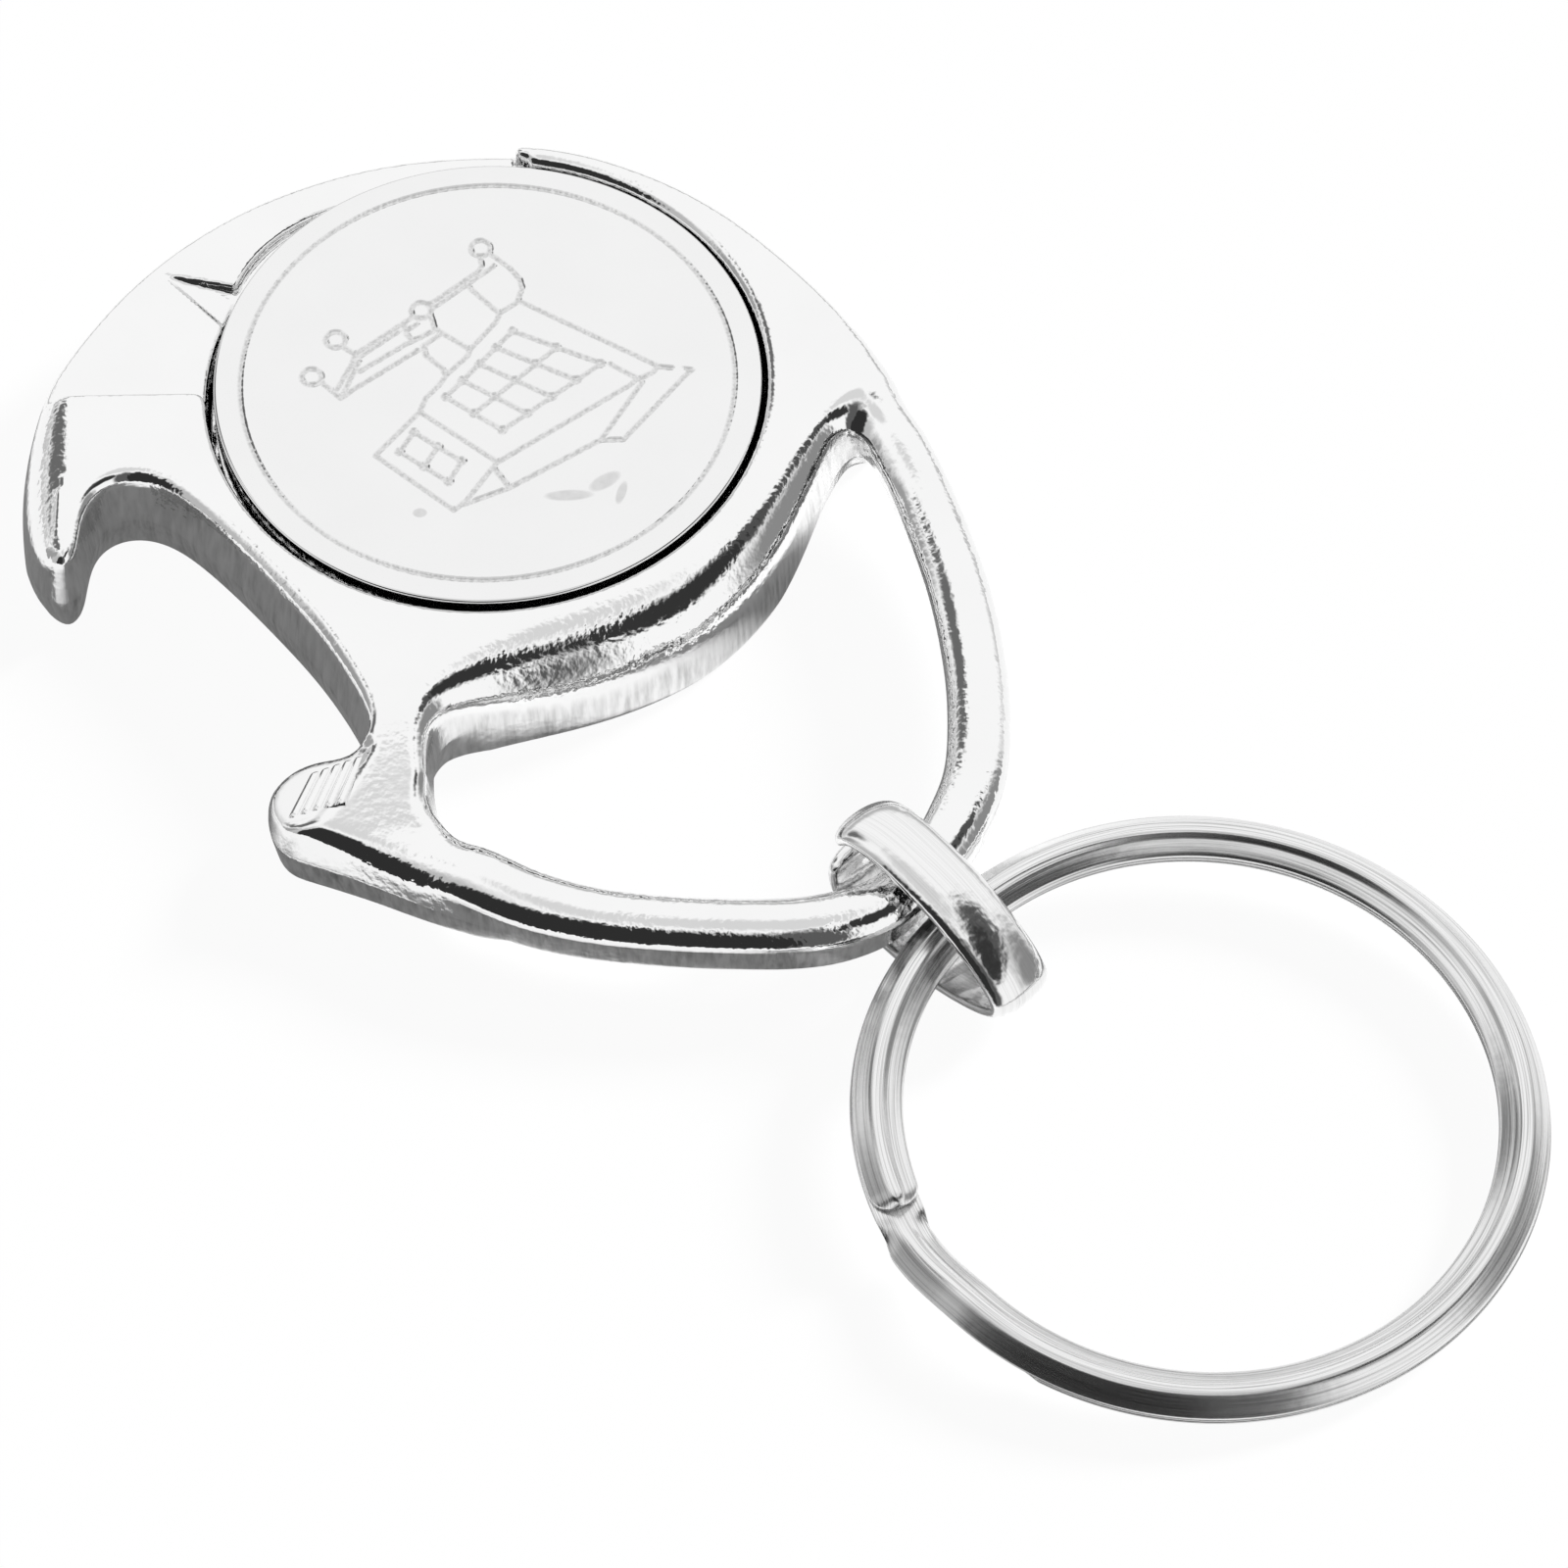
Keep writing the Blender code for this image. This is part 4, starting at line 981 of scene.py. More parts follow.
class Sheet:
    """The node tree of one material or of the world."""

    def __init__(self, tree):
        self.tree = tree

    def add(self, kind, settings=None, inputs=None, output=0):
        """Add a node, set it up, and connect or set its sockets by name or number."""
        node = self.tree.nodes.new(kind)
        for name, value in (settings or {}).items():
            setattr(node, name, value)
        for name, value in (inputs or {}).items():
            if isinstance(value, Value):
                self.tree.links.new(value.socket, node.inputs[name])
            else:
                node.inputs[name].default_value = value
        return Value(self, node.outputs[output])

    def place(self):
        """The point's place on the object in metres."""
        return self.add("ShaderNodeTexCoord", output="Object")

    def parts(self, vector):
        """The x, y and z of a vector."""
        split = self.add("ShaderNodeSeparateXYZ", {}, {0: vector}).socket.node
        return [Value(self, output) for output in split.outputs]

    def noise(self, size, detail):
        """Soft noise whose grains are about the given size in metres."""
        inputs = {"Vector": self.place(), "Scale": 1 / size, "Detail": detail}
        return self.add("ShaderNodeTexNoise", {}, inputs)

    def streaks(self, place, stretch, detail):
        """Noise of a place whose three parts are each multiplied by a number first."""
        stretched = self.add(
            "ShaderNodeVectorMath", {"operation": "MULTIPLY"}, {0: place, 1: stretch}
        )
        inputs = {"Vector": stretched, "Scale": 1.0, "Detail": detail}
        return self.add("ShaderNodeTexNoise", {}, inputs)

    def spot(self, x, y, wide, tall, turn):
        """One on an oval spot in plan and nothing round it, from millimetres and degrees."""
        place_x, place_y, _ = self.parts(self.place())
        across, deep = place_x / MM - x, place_y / MM - y
        cosine, sine = math.cos(math.radians(turn)), math.sin(math.radians(turn))
        along = (across * cosine + deep * sine) / wide
        beside = (deep * cosine - across * sine) / tall
        return ((1.3 - along * along - beside * beside) * 1.5).clamp()

    def bump(self, relief, height):
        """A normal that follows a relief of a height in metres."""
        inputs = {"Height": relief, "Distance": height, "Strength": 1.0}
        return self.add("ShaderNodeBump", {}, inputs)


def metal_material(name, base, roughness, spread, peel, marks=(), cut=0.0, flank=0.0, calm=()):
    """Polished plated metal with faint clouding, handling marks and a soft orange peel.

    The mesh attribute "engraved" marks cut lines, which are painted darker by the share in cut
    as painted shade in the cuts. Steep and overhanging faces are streaked downwards, and painted
    darker by the share in flank as painted shade, most of all in the streaks. Spread is how far
    the roughness varies.

    The peel is the size of its grain, its height and the size of its calmer parts, in metres. It
    fades out on the calm spots.
    """
    material = bpy.data.materials.new(name)
    material.use_nodes = True
    sheet = Sheet(material.node_tree)
    shader = material.node_tree.nodes["Principled BSDF"]
    shader.inputs["Metallic"].default_value = 1.0
    cloud = sheet.noise(0.004, 3.0)
    fine = sheet.noise(0.0004, 3.0)
    # How much darker the plating is: random clouding and handling marks, then painted shade on
    # steep faces and in cuts
    darker_share = 0.06 * cloud
    for mark in marks:
        darker_share = darker_share.math("MAXIMUM", darker_share, sheet.spot(*mark) * (0.2 + 0.25 * fine))
    drag = None
    # Painted shade: steep and overhanging faces are darkened throughout, and more in patchy
    # streaks along the drag lines
    if flank:
        outward = sheet.parts(sheet.add("ShaderNodeTexCoord", output="Normal"))
        steep = ((0.25 - outward[2]) * 5.0).clamp()
        drag = sheet.streaks(sheet.place(), (3500, 3500, 500), 3.0)
        patchy_shade = ((sheet.noise(0.0016, 2.0) - 0.4) * 3.0).clamp()
        streaked_shade = ((drag - 0.35) * 3.0).clamp()
        darker_share = darker_share.math("MAXIMUM", darker_share, steep * (0.1 + flank * streaked_shade * (0.4 + 0.6 * patchy_shade)))
        drag = drag * steep
    # Painted shade in the cuts: engraved lines and rib valleys are darkened by their marked depth
    if cut:
        lines = sheet.add("ShaderNodeAttribute", {"attribute_name": "engraved"}, output="Fac")
        broken = ((sheet.noise(0.00012, 1.0) - 0.3) * 2.5).clamp() * 0.6 + 0.4
        darker_share = darker_share.math("MAXIMUM", darker_share, lines * broken * cut)
    tint = sheet.add(
        "ShaderNodeMix",
        {"data_type": "RGBA"},
        {"Factor": darker_share, 6: (*base, 1.0), 7: (*(0.3 * part for part in base), 1.0)},
        output=2,
    )
    rough = roughness + spread * (0.6 * cloud + 0.4 * fine - 0.4)
    grain, height, patch = peel
    rippled = ((sheet.noise(patch, 1.0) - 0.35) * 4.0).clamp() * 0.7 + 0.3
    relief = sheet.noise(grain, 1.5) * rippled
    for spot in calm:
        relief = relief * (1.0 - sheet.spot(*spot))
    if drag:
        relief = relief + drag * 1.2
    normal = sheet.bump(relief, height)
    for socket, value in (("Base Color", tint), ("Roughness", rough), ("Normal", normal)):
        material.node_tree.links.new(value.socket, shader.inputs[socket])
    return material


def wire_material(name, base, roughness, peel, height, darkening):
    """Drawn and plated wire: fine streaks along it over the metal's own clouding.

    The streaks are noise of the place on the wire, stretched along the wire. They are raised by
    a height and darken the metal by a share.
    """
    material = metal_material(name, base, roughness, spread=0.06, peel=peel)
    tree = material.node_tree
    sheet = Sheet(tree)
    wire = sheet.add("ShaderNodeAttribute", {"attribute_name": "wire"}, output="Vector")
    streak = sheet.streaks(wire, (14000, 120, 1), 2.0)
    shader = tree.nodes["Principled BSDF"]
    peeled = shader.inputs["Normal"].links[0].from_node
    tree.links.new(sheet.bump(streak, height).socket, peeled.inputs["Normal"])
    tint = shader.inputs["Base Color"].links[0].from_node
    darker_share = ((streak - 0.45) * 3.0 * darkening).clamp()
    tree.links.new(darker_share.socket, tint.inputs["Factor"])
    return material


def mark_wire(piece, across, along):
    """Write where each of a swept piece's first points lies across and along its wire."""
    across, along = np.broadcast_arrays(across, along)
    places = np.zeros((len(piece.data.vertices), 3))
    places[: across.size, 0] = across.ravel()
    places[: along.size, 1] = along.ravel()
    wire = piece.data.attributes.new("wire", "FLOAT_VECTOR", "POINT")
    wire.data.foreach_set("vector", places.ravel())


# Pieces


def build_casting(settings):
    """The casting from its field of distances, as one closed skin."""
    sizes = settings.holder
    step = sizes.spacing
    low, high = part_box("holder_body")
    margin = 3 * step
    axes = [np.arange(low[i] - margin, high[i] + margin + step, step) for i in range(3)]
    field = casting_field(sizes, *axes) / step
    points, normals, faces = surface_of(field)
    points = points * step + np.array([axis[0] for axis in axes])
    material = metal_material(
        "polished_chrome",
        settings.colours.chrome,
        roughness=0.05,
        spread=0.05,
        peel=(0.0003, 3e-5, 0.003),
        # flank paints shade on the steep and overhanging faces
        flank=0.75,
        calm=[(-7.4, -20.2, 2.3, 1.7, 0)],
    )
    piece = make_piece("holder_casting", points, faces, material, normals)
    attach(piece, "holder")
    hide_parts("holder_body")
    return piece


def build_ribs(settings):
    """Five saw-tooth ribs on the thumb pad, as a thin closed plate set into it."""
    sizes = settings.holder
    corners = np.array(RIB_PATCH_MM) * MM
    u = np.linspace(0, 1, RIB_COUNT * RIB_POINTS + 1)[:, None]
    v = np.linspace(0, 1, RIB_LENGTH_POINTS)[None, :]
    far = corners[0] + (corners[2] - corners[0]) * u[..., None]
    near = corners[1] + (corners[3] - corners[1]) * u[..., None]
    plan = far + (near - far) * v[..., None]
    run = (plan[..., 0] - sizes.pad_x) * math.cos(sizes.pad_heading)
    run = run + (plan[..., 1] - sizes.pad_y) * math.sin(sizes.pad_heading)
    plain = sizes.pad_height - sizes.rib_depth - run * math.tan(sizes.pad_slope)
    phase = u * RIB_COUNT - np.floor(u * RIB_COUNT - 1e-6)
    tooth = np.where(phase < RIB_RISE, phase / RIB_RISE, (1 - phase) / (1 - RIB_RISE))
    fade = np.clip(np.minimum(v, 1 - v) / RIB_FADE, 0, 1) ** 0.5
    lift = plain + sizes.rib_depth * ((1 + RIB_SINK) * tooth * fade - RIB_SINK)
    upper = np.dstack([plan[..., 0], plan[..., 1], lift])
    lower = np.dstack([plan[..., 0], plan[..., 1], plain - 3 * sizes.rib_depth])
    rows = np.concatenate([upper[:, ::-1], lower], axis=1)
    points = np.vstack([rows.reshape(-1, 3), rows[0].mean(axis=0), rows[-1].mean(axis=0)])
    faces = swept_faces(rows.shape[0], rows.shape[1])
    material = metal_material(
        "rib_chrome",
        settings.colours.chrome,
        roughness=0.09,
        spread=0.06,
        peel=(0.0003, 3e-6, 0.002),
        # cut paints shade in the valleys between the ribs
        cut=0.5,
    )
    piece = make_piece("thumb_ribs", points, faces, material)
    # The valleys between the ribs are marked for painted shade
    valley = np.clip(1.3 - 3 * tooth, 0, 1) * np.ones_like(v)
    marked = np.concatenate([valley[:, ::-1], np.zeros_like(valley)], axis=1)
    mark_engraving(piece, marked.ravel())
    piece.data.set_sharp_from_angle(angle=math.radians(35))
    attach(piece, "holder")
    return piece


def basket_strokes(corners, along, across):
    """The lines of a skewed grid between four corners, and its crossings, in millimetres."""
    a, b, c, d = (np.asarray(corner, float) for corner in corners)
    u = np.linspace(0, 1, along)[:, None, None]
    v = np.linspace(0, 1, across)[None, :, None]
    nodes = (1 - u) * ((1 - v) * a + v * d) + u * ((1 - v) * b + v * c)
    lines = [nodes[index] for index in range(along)]
    lines += [nodes[:, index] for index in range(across)]
    return lines, nodes.reshape(-1, 2)


def stroke_depth(sizes, points):
    """How deep the engraving is at each point of the coin's face: full on a stroke, then out.

    The depth wavers along the strokes like a worn die's: a product of two sines of the place.
    """
    points = (points + np.array([sizes.shift_x, sizes.shift_y])) / MM
    near = np.full(len(points), np.inf)
    strokes = [np.asarray(stroke, float) for stroke in TROLLEY_STROKES_MM]
    rings = [(wheel, sizes.wheel_radius / MM) for wheel in TROLLEY_WHEELS_MM]
    for corners, along, across in TROLLEY_GRIDS_MM:
        lines, nodes = basket_strokes(corners, along, across)
        strokes += lines
        rings += [(node, 0.0) for node in nodes]
    for stroke in strokes:
        low, high = stroke.min(axis=0) - 1, stroke.max(axis=0) + 1
        close = np.all((points > low) & (points < high), axis=1)
        distance, _ = nearest_on_path(points[close], stroke, False)
        near[close] = np.minimum(near[close], distance)
    for middle, radius in rings:
        distance = np.abs(np.hypot(*(points - np.asarray(middle)).T) - radius)
        near = np.minimum(near, distance - (0.1 if radius == 0 else 0))
    wide = sizes.stroke_width / MM
    edge = np.clip((near - wide / 4) / (wide / 2), 0, 1)
    waver = np.sin(9.7 * points[:, 0] + 4.1 * points[:, 1])
    waver = 0.9 + 0.15 * waver * np.sin(5.3 * points[:, 0] - 11.9 * points[:, 1])
    return sizes.stroke_depth * waver * (1 - edge * edge * (3 - 2 * edge))


def mark_engraving(piece, shares):
    """Write how deep a piece is cut, from nothing to one, for its first points."""
    values = np.zeros(len(piece.data.vertices))
    values[: len(shares)] = np.clip(shares, 0, 1)
    engraved = piece.data.attributes.new("engraved", "FLOAT", "POINT")
    engraved.data.foreach_set("value", values)


def disc_grid(radius, marks):
    """A square grid carried onto a disc: every square round the middle becomes a ring."""
    a, b = np.meshgrid(marks, marks, indexing="ij")
    wide = np.abs(a) >= np.abs(b)
    reach = np.where(wide, a, b)
    other = np.where(wide, b, a)
    turn = math.pi / 4 * other / np.where(reach == 0, 1, reach)
    turn = np.where(wide, turn, math.pi / 2 - turn)
    return radius * np.dstack([reach * np.cos(turn), reach * np.sin(turn)])


def face_marks(sizes, inner):
    """Grid lines across the coin's face as shares of its radius, closer together at the groove."""
    reach = np.array([-GROOVE_REACH, GROOVE_REACH])
    low, high = (reach * sizes.groove_width + sizes.groove_radius) / inner
    stops = (0, FIGURE_SHARE, low, high, 1)
    parts = [
        np.linspace(start, stop, steps, endpoint=False)
        for start, stop, steps in zip(stops, stops[1:], FACE_STEPS)
    ]
    half = np.append(np.concatenate(parts), 1.0)
    return np.concatenate([-half[:0:-1], half])


def groove_depth(sizes, points):
    """How deep the fine groove is at each point: a squared parabola across it.

    It wavers round the coin by a product of two sines of the angle.
    """
    far = np.hypot(*points.T)
    beside = np.clip(np.abs(far - sizes.groove_radius) / (sizes.groove_width / 2), 0, 1)
    turn = np.arctan2(points[:, 1], points[:, 0])
    waver = 0.85 + 0.15 * np.sin(83 * turn + 2 * np.sin(17 * turn)) * np.sin(211 * turn)
    return sizes.groove_depth * waver * (1 - beside**2) ** 2


def edge_rings(sizes, around):
    """Rings of the coin's turned side: a quarter round, a flat, a quarter round and the back."""
    top = sizes.bottom + sizes.thickness
    turns = np.radians([90, 60, 30, 0])
    radii = sizes.radius - sizes.edge + sizes.edge * np.cos(turns)
    heights = top - sizes.edge + sizes.edge * np.sin(turns)
    radii = np.concatenate([radii, radii[::-1], [sizes.radius * 0.5]])
    middle = (top + sizes.bottom) / 2
    heights = np.concatenate([heights, 2 * middle - heights[::-1], [sizes.bottom]])
    plan = around[None] * radii[:, None, None]
    rise = np.broadcast_to(heights[:, None, None], (*plan.shape[:2], 1))
    return np.concatenate([plan, rise], axis=2)


def build_coin(settings):
    """The coin: an engraved face on a disc grid, closed by the coin's turned edge and back."""
    sizes = settings.coin
    inner = sizes.radius - sizes.edge * 1.5
    marks = face_marks(sizes, inner)
    steps = len(marks)
    flat = disc_grid(inner, marks).reshape(-1, 2)
    depth = stroke_depth(sizes, flat) + groove_depth(sizes, flat)
    face = np.column_stack([flat, sizes.bottom + sizes.thickness - depth])
    index = np.arange(steps * steps).reshape(steps, steps)
    quads = np.stack([index[:-1, :-1], index[1:, :-1], index[1:, 1:], index[:-1, 1:]], axis=-1)
    rim = np.concatenate([index[:-1, 0], index[-1, :-1], index[:0:-1, -1], index[0, :0:-1]])
    rings = edge_rings(sizes, flat[rim] / np.hypot(*flat[rim].T)[:, None])
    number = len(face) + np.arange(rings[..., 0].size).reshape(rings.shape[:2])
    number = np.vstack([rim[None], number])
    beside = np.roll(number, -1, axis=1)
    sides = np.stack([number[:-1], number[1:], beside[1:], beside[:-1]], axis=-1)
    points = np.vstack([face, rings.reshape(-1, 3), [[0, 0, sizes.bottom]]])
    points[:, 0] += sizes.shift_x
    points[:, 1] += sizes.shift_y
    back = [(len(points) - 1, b, a) for a, b in zip(number[-1], beside[-1])]
    faces = quads.reshape(-1, 4).tolist() + sides.reshape(-1, 4).tolist() + back
    material = metal_material(
        "coin_plating",
        settings.colours.coin,
        roughness=0.1,
        spread=0.08,
        peel=(0.0004, 4e-6, 0.003),
        marks=COIN_MARKS_MM,
        # cut paints shade in the engraved strokes and the groove
        cut=0.6,
    )
    piece = make_piece("engraved_coin", points, faces, material)
    mark_engraving(piece, depth / sizes.stroke_depth)
    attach(piece, "coin")
    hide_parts("trolley_coin")
    return piece


def link_place(sizes):
    """The link's frame: X along it away from the holder, Y across its loop, Z along the bar."""
    place = Matrix.Translation((sizes.x, sizes.y, sizes.z))
    place @= Matrix.Rotation(sizes.heading, 4, "Z")
    place @= Matrix.Rotation(math.pi / 2 - sizes.lean, 4, "X")
    return place @ Matrix.Rotation(-sizes.droop, 4, "Z")


def build_link(settings):
    """The band: a section flat inside and domed outside, carried round an open loop."""
    sizes = settings.link
    back, front, tall = sizes.back_reach, sizes.front_reach, sizes.half_height
    rows = [(x * back, y * tall, 0) for x, y in LINK_UPPER_BACK_SHARES]
    rows += [(x * front, y * tall, 0) for x, y in LINK_FRONT_SHARES]
    rows += [(x * back, y * tall, 0) for x, y in LINK_LOWER_BACK_SHARES]
    path = smooth_path(rows, 10, False)
    outward = -outward_along(path, np.array([0.0, 0.0, 1.0]))
    turn = -np.linspace(0, 2 * math.pi, LINK_SECTION_POINTS, endpoint=False)
    cosine, sine = np.cos(turn), np.sin(turn)
    half, stock = sizes.width / 2, sizes.stock / 2
    power = np.where(sine > 0, LINK_OUTER_POWER, LINK_INNER_POWER)
    sideways = half * np.sign(cosine) * np.abs(cosine) ** power
    edge = -LINK_EDGE * stock
    outer = edge + (stock - edge) * np.abs(sine)
    inner = edge - (stock + edge) * np.abs(sine) ** LINK_FLAT_POWER
    outwards = np.where(sine > 0, outer, inner)
    scale = np.maximum(ease_ends(np.linspace(0, 1, len(path)), *LINK_ENDS), 0.02)
    thin, narrow = scale[:, None, None] ** LINK_END_THINNING, scale[:, None, None]
    grid = (
        path[:, None, :]
        + outward[:, None, :] * (outwards[None, :, None] * thin)
        + np.array([0, 0, 1]) * (sideways[None, :, None] * narrow)
    )
    points = np.vstack([grid.reshape(-1, 3), path[0], path[-1]])
    points = to_world(points, link_place(sizes))
    faces = swept_faces(len(path), len(turn))
    material = wire_material(
        "link_plating",
        settings.colours.link,
        roughness=0.12,
        peel=(0.0005, 3e-5, 0.002),
        height=1.2e-6,
        darkening=0.25,
    )
    piece = make_piece("band_link", points, faces, material)
    steps = np.linalg.norm(np.diff(path, axis=0, prepend=path[:1]), axis=1)
    mark_wire(piece, sideways + outwards, np.cumsum(steps)[:, None])
    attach(piece, "link")
    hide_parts("connecting_link")
    return piece


def ring_section(sizes, upper):
    """The section of a coil in each row: across the wire and up from its middle.

    The upper coil has its flat face below and the lower one above. Where the wire changes
    level, the section is the mean of both by the row's share of the upper coil.
    """
    curve = np.array(RING_SECTION_MM) * MM
    curve[:, 0] *= sizes.width / (1.96 * MM)
    flat = np.linspace(-1, 1, len(curve) + 2)[1:-1] * curve[0, 0] * 0.97
    half = sizes.coil / 2
    upper = upper[:, None]
    high = np.broadcast_to(curve[:, 1] - half, (len(upper), len(curve)))
    low = np.full_like(high, -half)
    wide = np.broadcast_to(curve[:, 0], high.shape)
    plain = np.broadcast_to(flat[::-1], high.shape)
    over = (
        wide * upper + plain * (1 - upper),
        high * upper + half * (1 - upper),
    )
    under = (
        plain[:, ::-1] * upper + wide[:, ::-1] * (1 - upper),
        low * upper - high[:, ::-1] * (1 - upper),
    )
    return np.hstack([over[0], under[0]]), np.hstack([over[1], under[1]])


def build_ring(settings):
    """The split ring: a bevelled section carried along two turns that change level once.

    The far end tapers, and the near end is round in plan and blunt.
    """
    sizes = settings.ring
    level = (sizes.coil + sizes.gap) / 2
    start = math.pi + sizes.crossover_place
    total = 4 * math.pi - sizes.crossover
    # Angles gone from the near end, closer together at both ends
    near_end = np.linspace(0, 0.18, 9)[:-1] ** 2
    between = np.linspace(0.0324, total - 0.012, RING_POINTS)
    far_end = total - np.array([0.008, 0.005, 0.003, 0.0015, 0])
    gone = np.concatenate([near_end, between, far_end])
    long_way = 2 * math.pi - sizes.crossover
    share = np.clip((gone - long_way) / sizes.crossover, 0, 1)
    heights = level * np.cos(math.pi * np.clip(share / SINK_SHARE, 0, 1))
    theta = start - gone
    out = np.column_stack([np.cos(theta), np.sin(theta), np.zeros_like(theta)])
    path = sizes.radius * (out + np.array([1.0, 0, 0]))
    path -= COIL_OFFSET * out * np.clip(heights / level, -1, 1)[:, None]
    path[:, 2] = heights
    turned = np.clip((share - TURN_START) / TURN_LENGTH, 0, 1)
    across, rise = ring_section(sizes, 1 - turned * turned * (3 - 2 * turned))
    left = gone[-1] - gone
    taper = np.clip(left / sizes.wedge, 0, 1)[:, None]
    across = across * (TAIL_WIDTH + (1 - TAIL_WIDTH) * taper)
    seam = -np.sign(heights)[:, None] * sizes.coil / 2
    rise = seam + (rise - seam) * (TAIL_HEIGHT + (1 - TAIL_HEIGHT) * taper)
    tail = np.clip(left / RING_TAIL, 0.02, 1)
    nose, blunt = (
        np.sqrt(np.clip(1 - (1 - np.clip(gone / reach, 0, 1)) ** 2, 0.0004, 1))
        for reach in (RING_NOSE, RING_BLUNT)
    )
    across = across * np.minimum(nose, tail)[:, None]
    rise = rise * np.minimum(blunt, tail)[:, None]
    up = np.array([0, 0, 1.0])
    grid = path[:, None, :] + out[:, None, :] * across[..., None] + up * rise[..., None]
    points = np.vstack([grid.reshape(-1, 3), path[0], path[-1]])
    place = Matrix.Translation((sizes.x, sizes.y, sizes.z))
    place @= Matrix.Rotation(sizes.heading, 4, "Z") @ Matrix.Rotation(sizes.slope, 4, "Y")
    points = to_world(points, place)
    faces = swept_faces(len(path), grid.shape[1])
    material = wire_material(
        "ring_plating",
        settings.colours.ring,
        roughness=0.23,
        peel=(0.0006, 8e-6, 0.004),
        height=7e-6,
        darkening=0.8,
    )
    piece = make_piece("wound_ring", points, faces, material)
    mark_wire(piece, across, sizes.radius * gone[:, None])
    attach(piece, "ring")
    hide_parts("split_ring")
    return piece


def finish_magnet(settings):
    """Nickel plating on the magnet's own solid."""
    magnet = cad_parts["retaining_magnet"]
    material = metal_material(
        "magnet_plating",
        settings.colours.magnet,
        roughness=0.25,
        spread=0.1,
        peel=(0.0004, 4e-6, 0.002),
    )
    magnet.data.materials.clear()
    magnet.data.materials.append(material)
    return magnet


# Stage


def build_floor(settings):
    """A pale floor under the object, nearly white to the camera, with its true shade in metal."""
    corners = np.array([(-1, -1, 0), (1, -1, 0), (1, 1, 0), (-1, 1, 0)])
    points = corners * FLOOR_HALF + np.array([0, 0, CAD_BOX[0][2] - FLOOR_GAP])
    material = bpy.data.materials.new("pale_floor")
    material.use_nodes = True
    tree = material.node_tree
    sheet = Sheet(tree)
    shader = tree.nodes["Principled BSDF"]
    shader.inputs["Base Color"].default_value = (*settings.colours.floor, 1.0)
    shader.inputs["Roughness"].default_value = 0.9
    shader.inputs["Specular IOR Level"].default_value = 0.0
    camera = sheet.add("ShaderNodeLightPath", output="Is Camera Ray")
    glossy = sheet.add("ShaderNodeLightPath", output="Is Glossy Ray")
    shown = (0.95 * camera + 0.1 * glossy).clamp()
    white = sheet.add("ShaderNodeEmission", {}, {"Color": (1, 1, 1, 1), "Strength": 1.0})
    plain = Value(sheet, shader.outputs[0])
    mixed = sheet.add("ShaderNodeMixShader", {}, {0: shown, 1: plain, 2: white})
    tree.links.new(mixed.socket, tree.nodes["Material Output"].inputs["Surface"])
    floor = make_piece("floor", points, np.array([[0, 1, 2, 3]]), material)
    return floor


def room_patch(direction, azimuth, elevation, wide, tall, soft, level):
    """One darker part of the room: an ellipse in azimuth and elevation with a soft edge."""
    x, y, z = direction
    azimuth, elevation = math.radians(azimuth), math.radians(elevation)
    ahead = x * math.cos(azimuth) + y * math.sin(azimuth)
    beside = y * math.cos(azimuth) - x * math.sin(azimuth)
    turned = beside.math("ARCTAN2", beside, ahead) / math.radians(wide)
    raised = (z.math("ARCSINE", z) - elevation) / math.radians(tall)
    distance = (turned * turned + raised * raised) ** 0.5
    edge = ((distance - (1 - soft)) / (2 * soft)).clamp()
    edge = edge * edge * (3 - 2 * edge)
    linear = level**SCREEN_POWER
    return linear + (1 - linear) * edge


def build_world():
    """A white room with a few grey parts, which only the metal sees, and white for the camera."""
    world = bpy.data.worlds.new("white_room")
    bpy.context.scene.world = world
    world.use_nodes = True
    tree = world.node_tree
    sheet = Sheet(tree)
    direction = sheet.parts(sheet.add("ShaderNodeTexCoord"))
    shade = None
    for row in ROOM_PATCHES:
        patch = room_patch(direction, *row)
        shade = patch if shade is None else shade.math("MINIMUM", shade, patch)
    seen = sheet.add("ShaderNodeLightPath", output="Is Camera Ray")
    glossy = sheet.add("ShaderNodeLightPath", output="Is Glossy Ray")
    lit = glossy * shade + (1 - glossy) * ROOM_FILL
    strength = seen + (1 - seen) * lit
    tree.links.new(strength.socket, tree.nodes["Background"].inputs["Strength"])
    tree.nodes["Background"].inputs["Color"].default_value = (1, 1, 1, 1)


def build_lamp():
    """A broad soft lamp behind the object on the right, which shades the floor in front."""
    lamp = bpy.data.lights.new("key_lamp", "SUN")
    lamp.energy = LAMP_STRENGTH
    lamp.angle = math.radians(LAMP_ACROSS)
    holder = bpy.data.objects.new("key_lamp", lamp)
    bpy.context.scene.collection.objects.link(holder)
    azimuth, elevation = math.radians(LAMP_AZIMUTH), math.radians(LAMP_ELEVATION)
    toward = Vector(
        (
            math.cos(azimuth) * math.cos(elevation),
            math.sin(azimuth) * math.cos(elevation),
            math.sin(elevation),
        )
    )
    holder.rotation_euler = toward.to_track_quat("Z", "Y").to_euler()
    holder.location = toward
    holder.visible_glossy = False


def build_camera():
    """The camera at the photograph's angle."""
    camera = bpy.data.cameras.new("camera")
    camera.lens = CAMERA_LENS
    camera.sensor_width = 36
    camera.clip_start = 0.01
    holder = bpy.data.objects.new("camera", camera)
    bpy.context.scene.collection.objects.link(holder)
    right = Vector(CAMERA_RIGHT).normalized()
    back = right.cross(-Vector(CAMERA_DOWN)).normalized()
    upward = back.cross(right)
    turn = Matrix((right, upward, back)).transposed().to_4x4()
    holder.matrix_world = Matrix.Translation(CAMERA_PLACE) @ turn
    bpy.context.scene.camera = holder


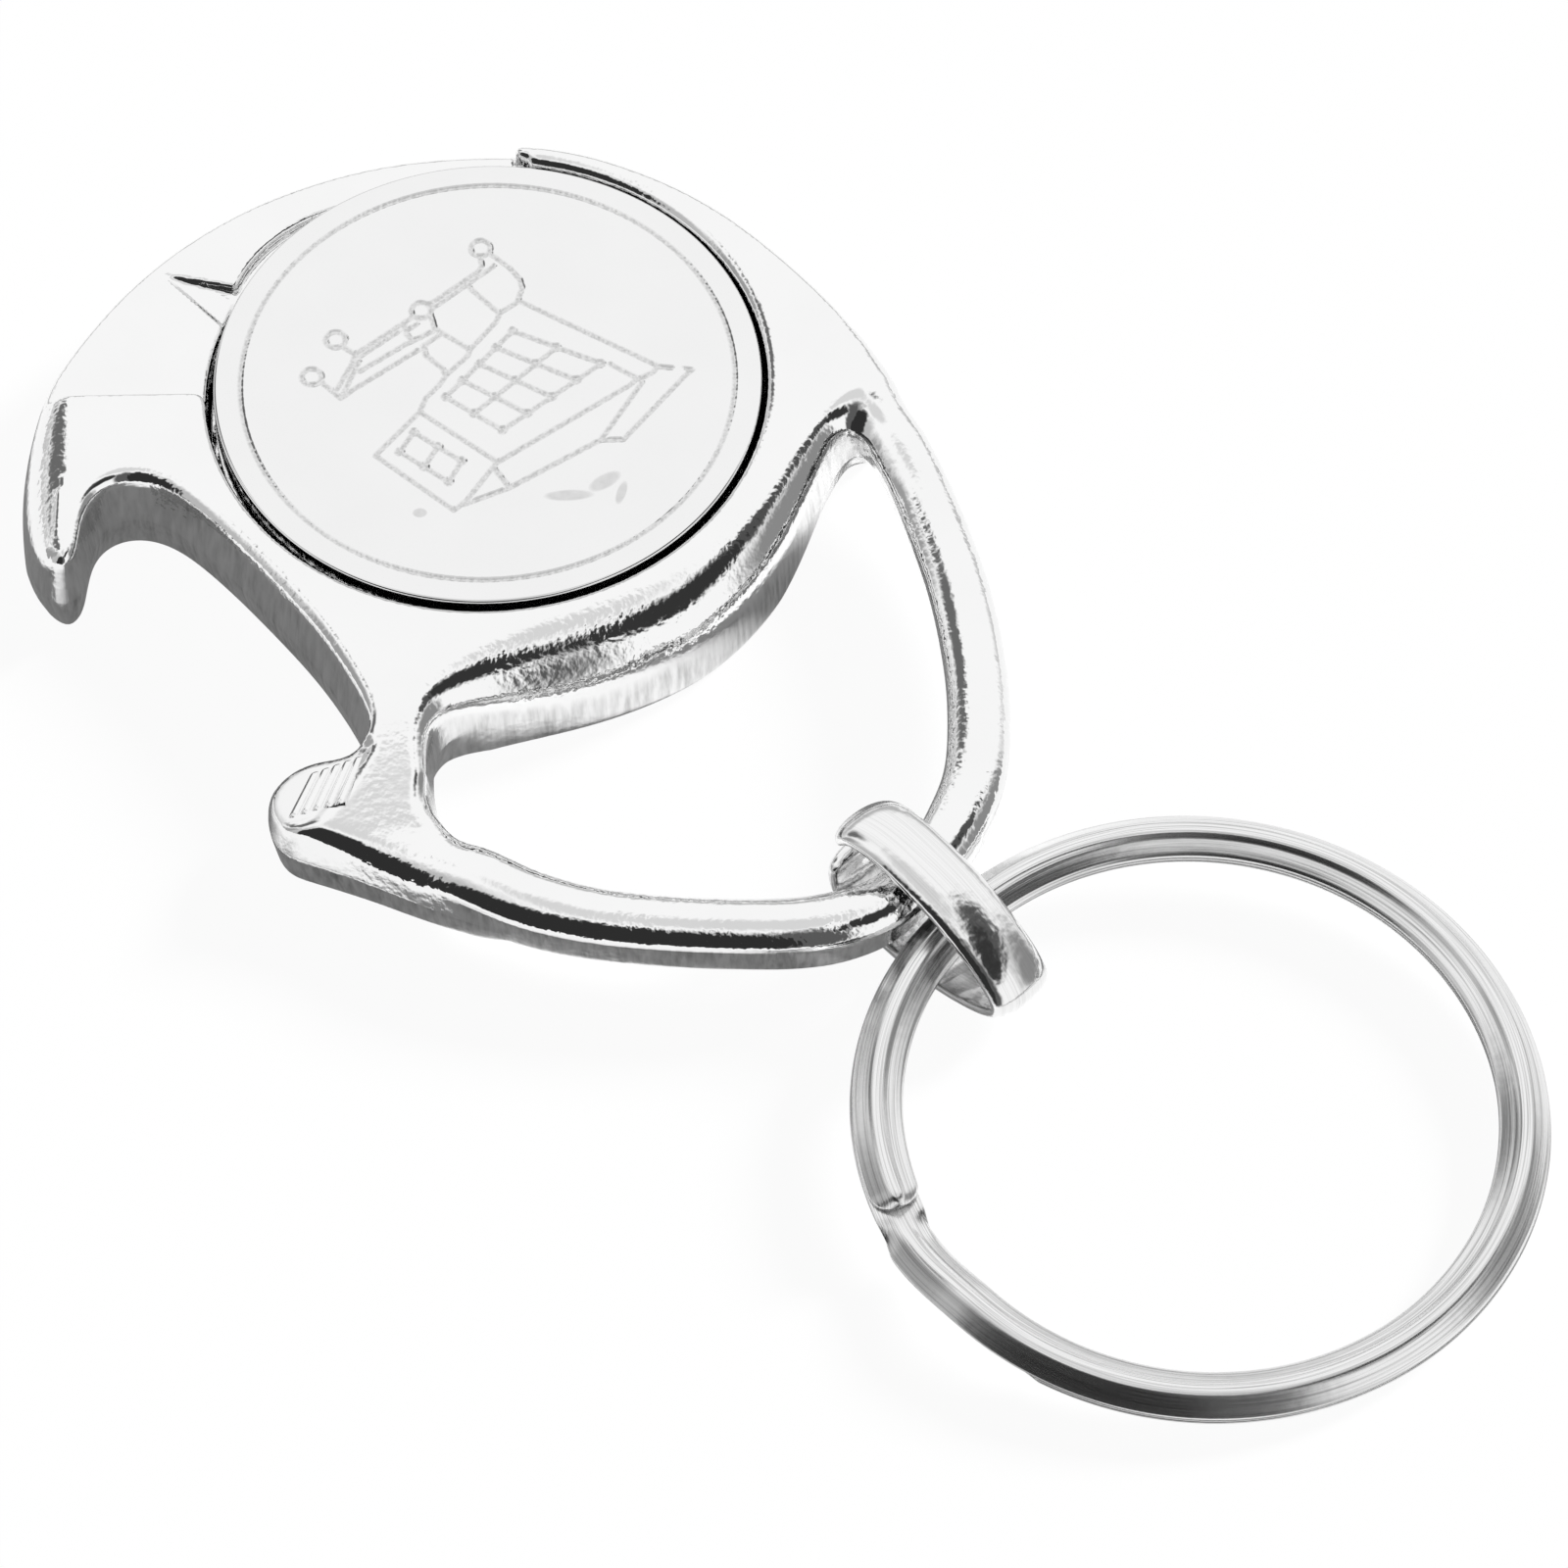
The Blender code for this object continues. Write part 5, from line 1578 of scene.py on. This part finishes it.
class KEYRING_OT_casting(bpy.types.Operator):
    """Build the chrome casting with its pocket, hook, tongue and key loop"""

    bl_idname = "keyring.casting"
    bl_label = "Casting"
    bl_options = {"REGISTER", "UNDO"}

    def execute(self, context):
        settings = context.scene.keyring
        build_casting(settings)
        build_ribs(settings)
        finish_magnet(settings)
        return {"FINISHED"}


class KEYRING_OT_coin(bpy.types.Operator):
    """Build the coin with its engraved trolley"""

    bl_idname = "keyring.coin"
    bl_label = "Coin"
    bl_options = {"REGISTER", "UNDO"}

    def execute(self, context):
        settings = context.scene.keyring
        build_coin(settings)
        return {"FINISHED"}


class KEYRING_OT_link(bpy.types.Operator):
    """Build the band link"""

    bl_idname = "keyring.link"
    bl_label = "Band link"
    bl_options = {"REGISTER", "UNDO"}

    def execute(self, context):
        settings = context.scene.keyring
        build_link(settings)
        return {"FINISHED"}


class KEYRING_OT_ring(bpy.types.Operator):
    """Build the split ring"""

    bl_idname = "keyring.ring"
    bl_label = "Split ring"
    bl_options = {"REGISTER", "UNDO"}

    def execute(self, context):
        settings = context.scene.keyring
        build_ring(settings)
        return {"FINISHED"}


class KEYRING_OT_stage(bpy.types.Operator):
    """Build the floor, the light and the camera"""

    bl_idname = "keyring.stage"
    bl_label = "Stage"
    bl_options = {"REGISTER", "UNDO"}

    def execute(self, context):
        settings = context.scene.keyring
        build_floor(settings)
        build_world()
        build_lamp()
        build_camera()
        return {"FINISHED"}


class KEYRING_PT_panel(bpy.types.Panel):
    """The sidebar panel with a button for each group of pieces"""

    bl_idname = "KEYRING_PT_panel"
    bl_label = "Coin holder keyring"
    bl_space_type = "VIEW_3D"
    bl_region_type = "UI"
    bl_category = "Keyring"

    def draw(self, context):
        for operator in OPERATORS:
            self.layout.operator(operator.bl_idname)


OPERATORS = (
    KEYRING_OT_casting,
    KEYRING_OT_coin,
    KEYRING_OT_link,
    KEYRING_OT_ring,
    KEYRING_OT_stage,
)
CLASSES = (
    HolderSizes,
    CoinSizes,
    LinkSizes,
    RingSizes,
    FinishColours,
    KeyringSettings,
    *OPERATORS,
    KEYRING_PT_panel,
)


def register():
    """Register the classes and hang the settings on the scene."""
    for item in CLASSES:
        bpy.utils.register_class(item)
    bpy.types.Scene.keyring = bpy.props.PointerProperty(
        type=KeyringSettings, name="Keyring", description="Sizes and colours of the keyring"
    )


def unregister():
    """Take the settings and the classes away again."""
    del bpy.types.Scene.keyring
    for item in reversed(CLASSES):
        bpy.utils.unregister_class(item)


def main():
    """Build every piece and the stage."""
    register()
    bpy.ops.keyring.casting()
    bpy.ops.keyring.coin()
    bpy.ops.keyring.link()
    bpy.ops.keyring.ring()
    bpy.ops.keyring.stage()
    bpy.context.scene.view_settings.view_transform = "Standard"


if __name__ == "__main__":
    main()
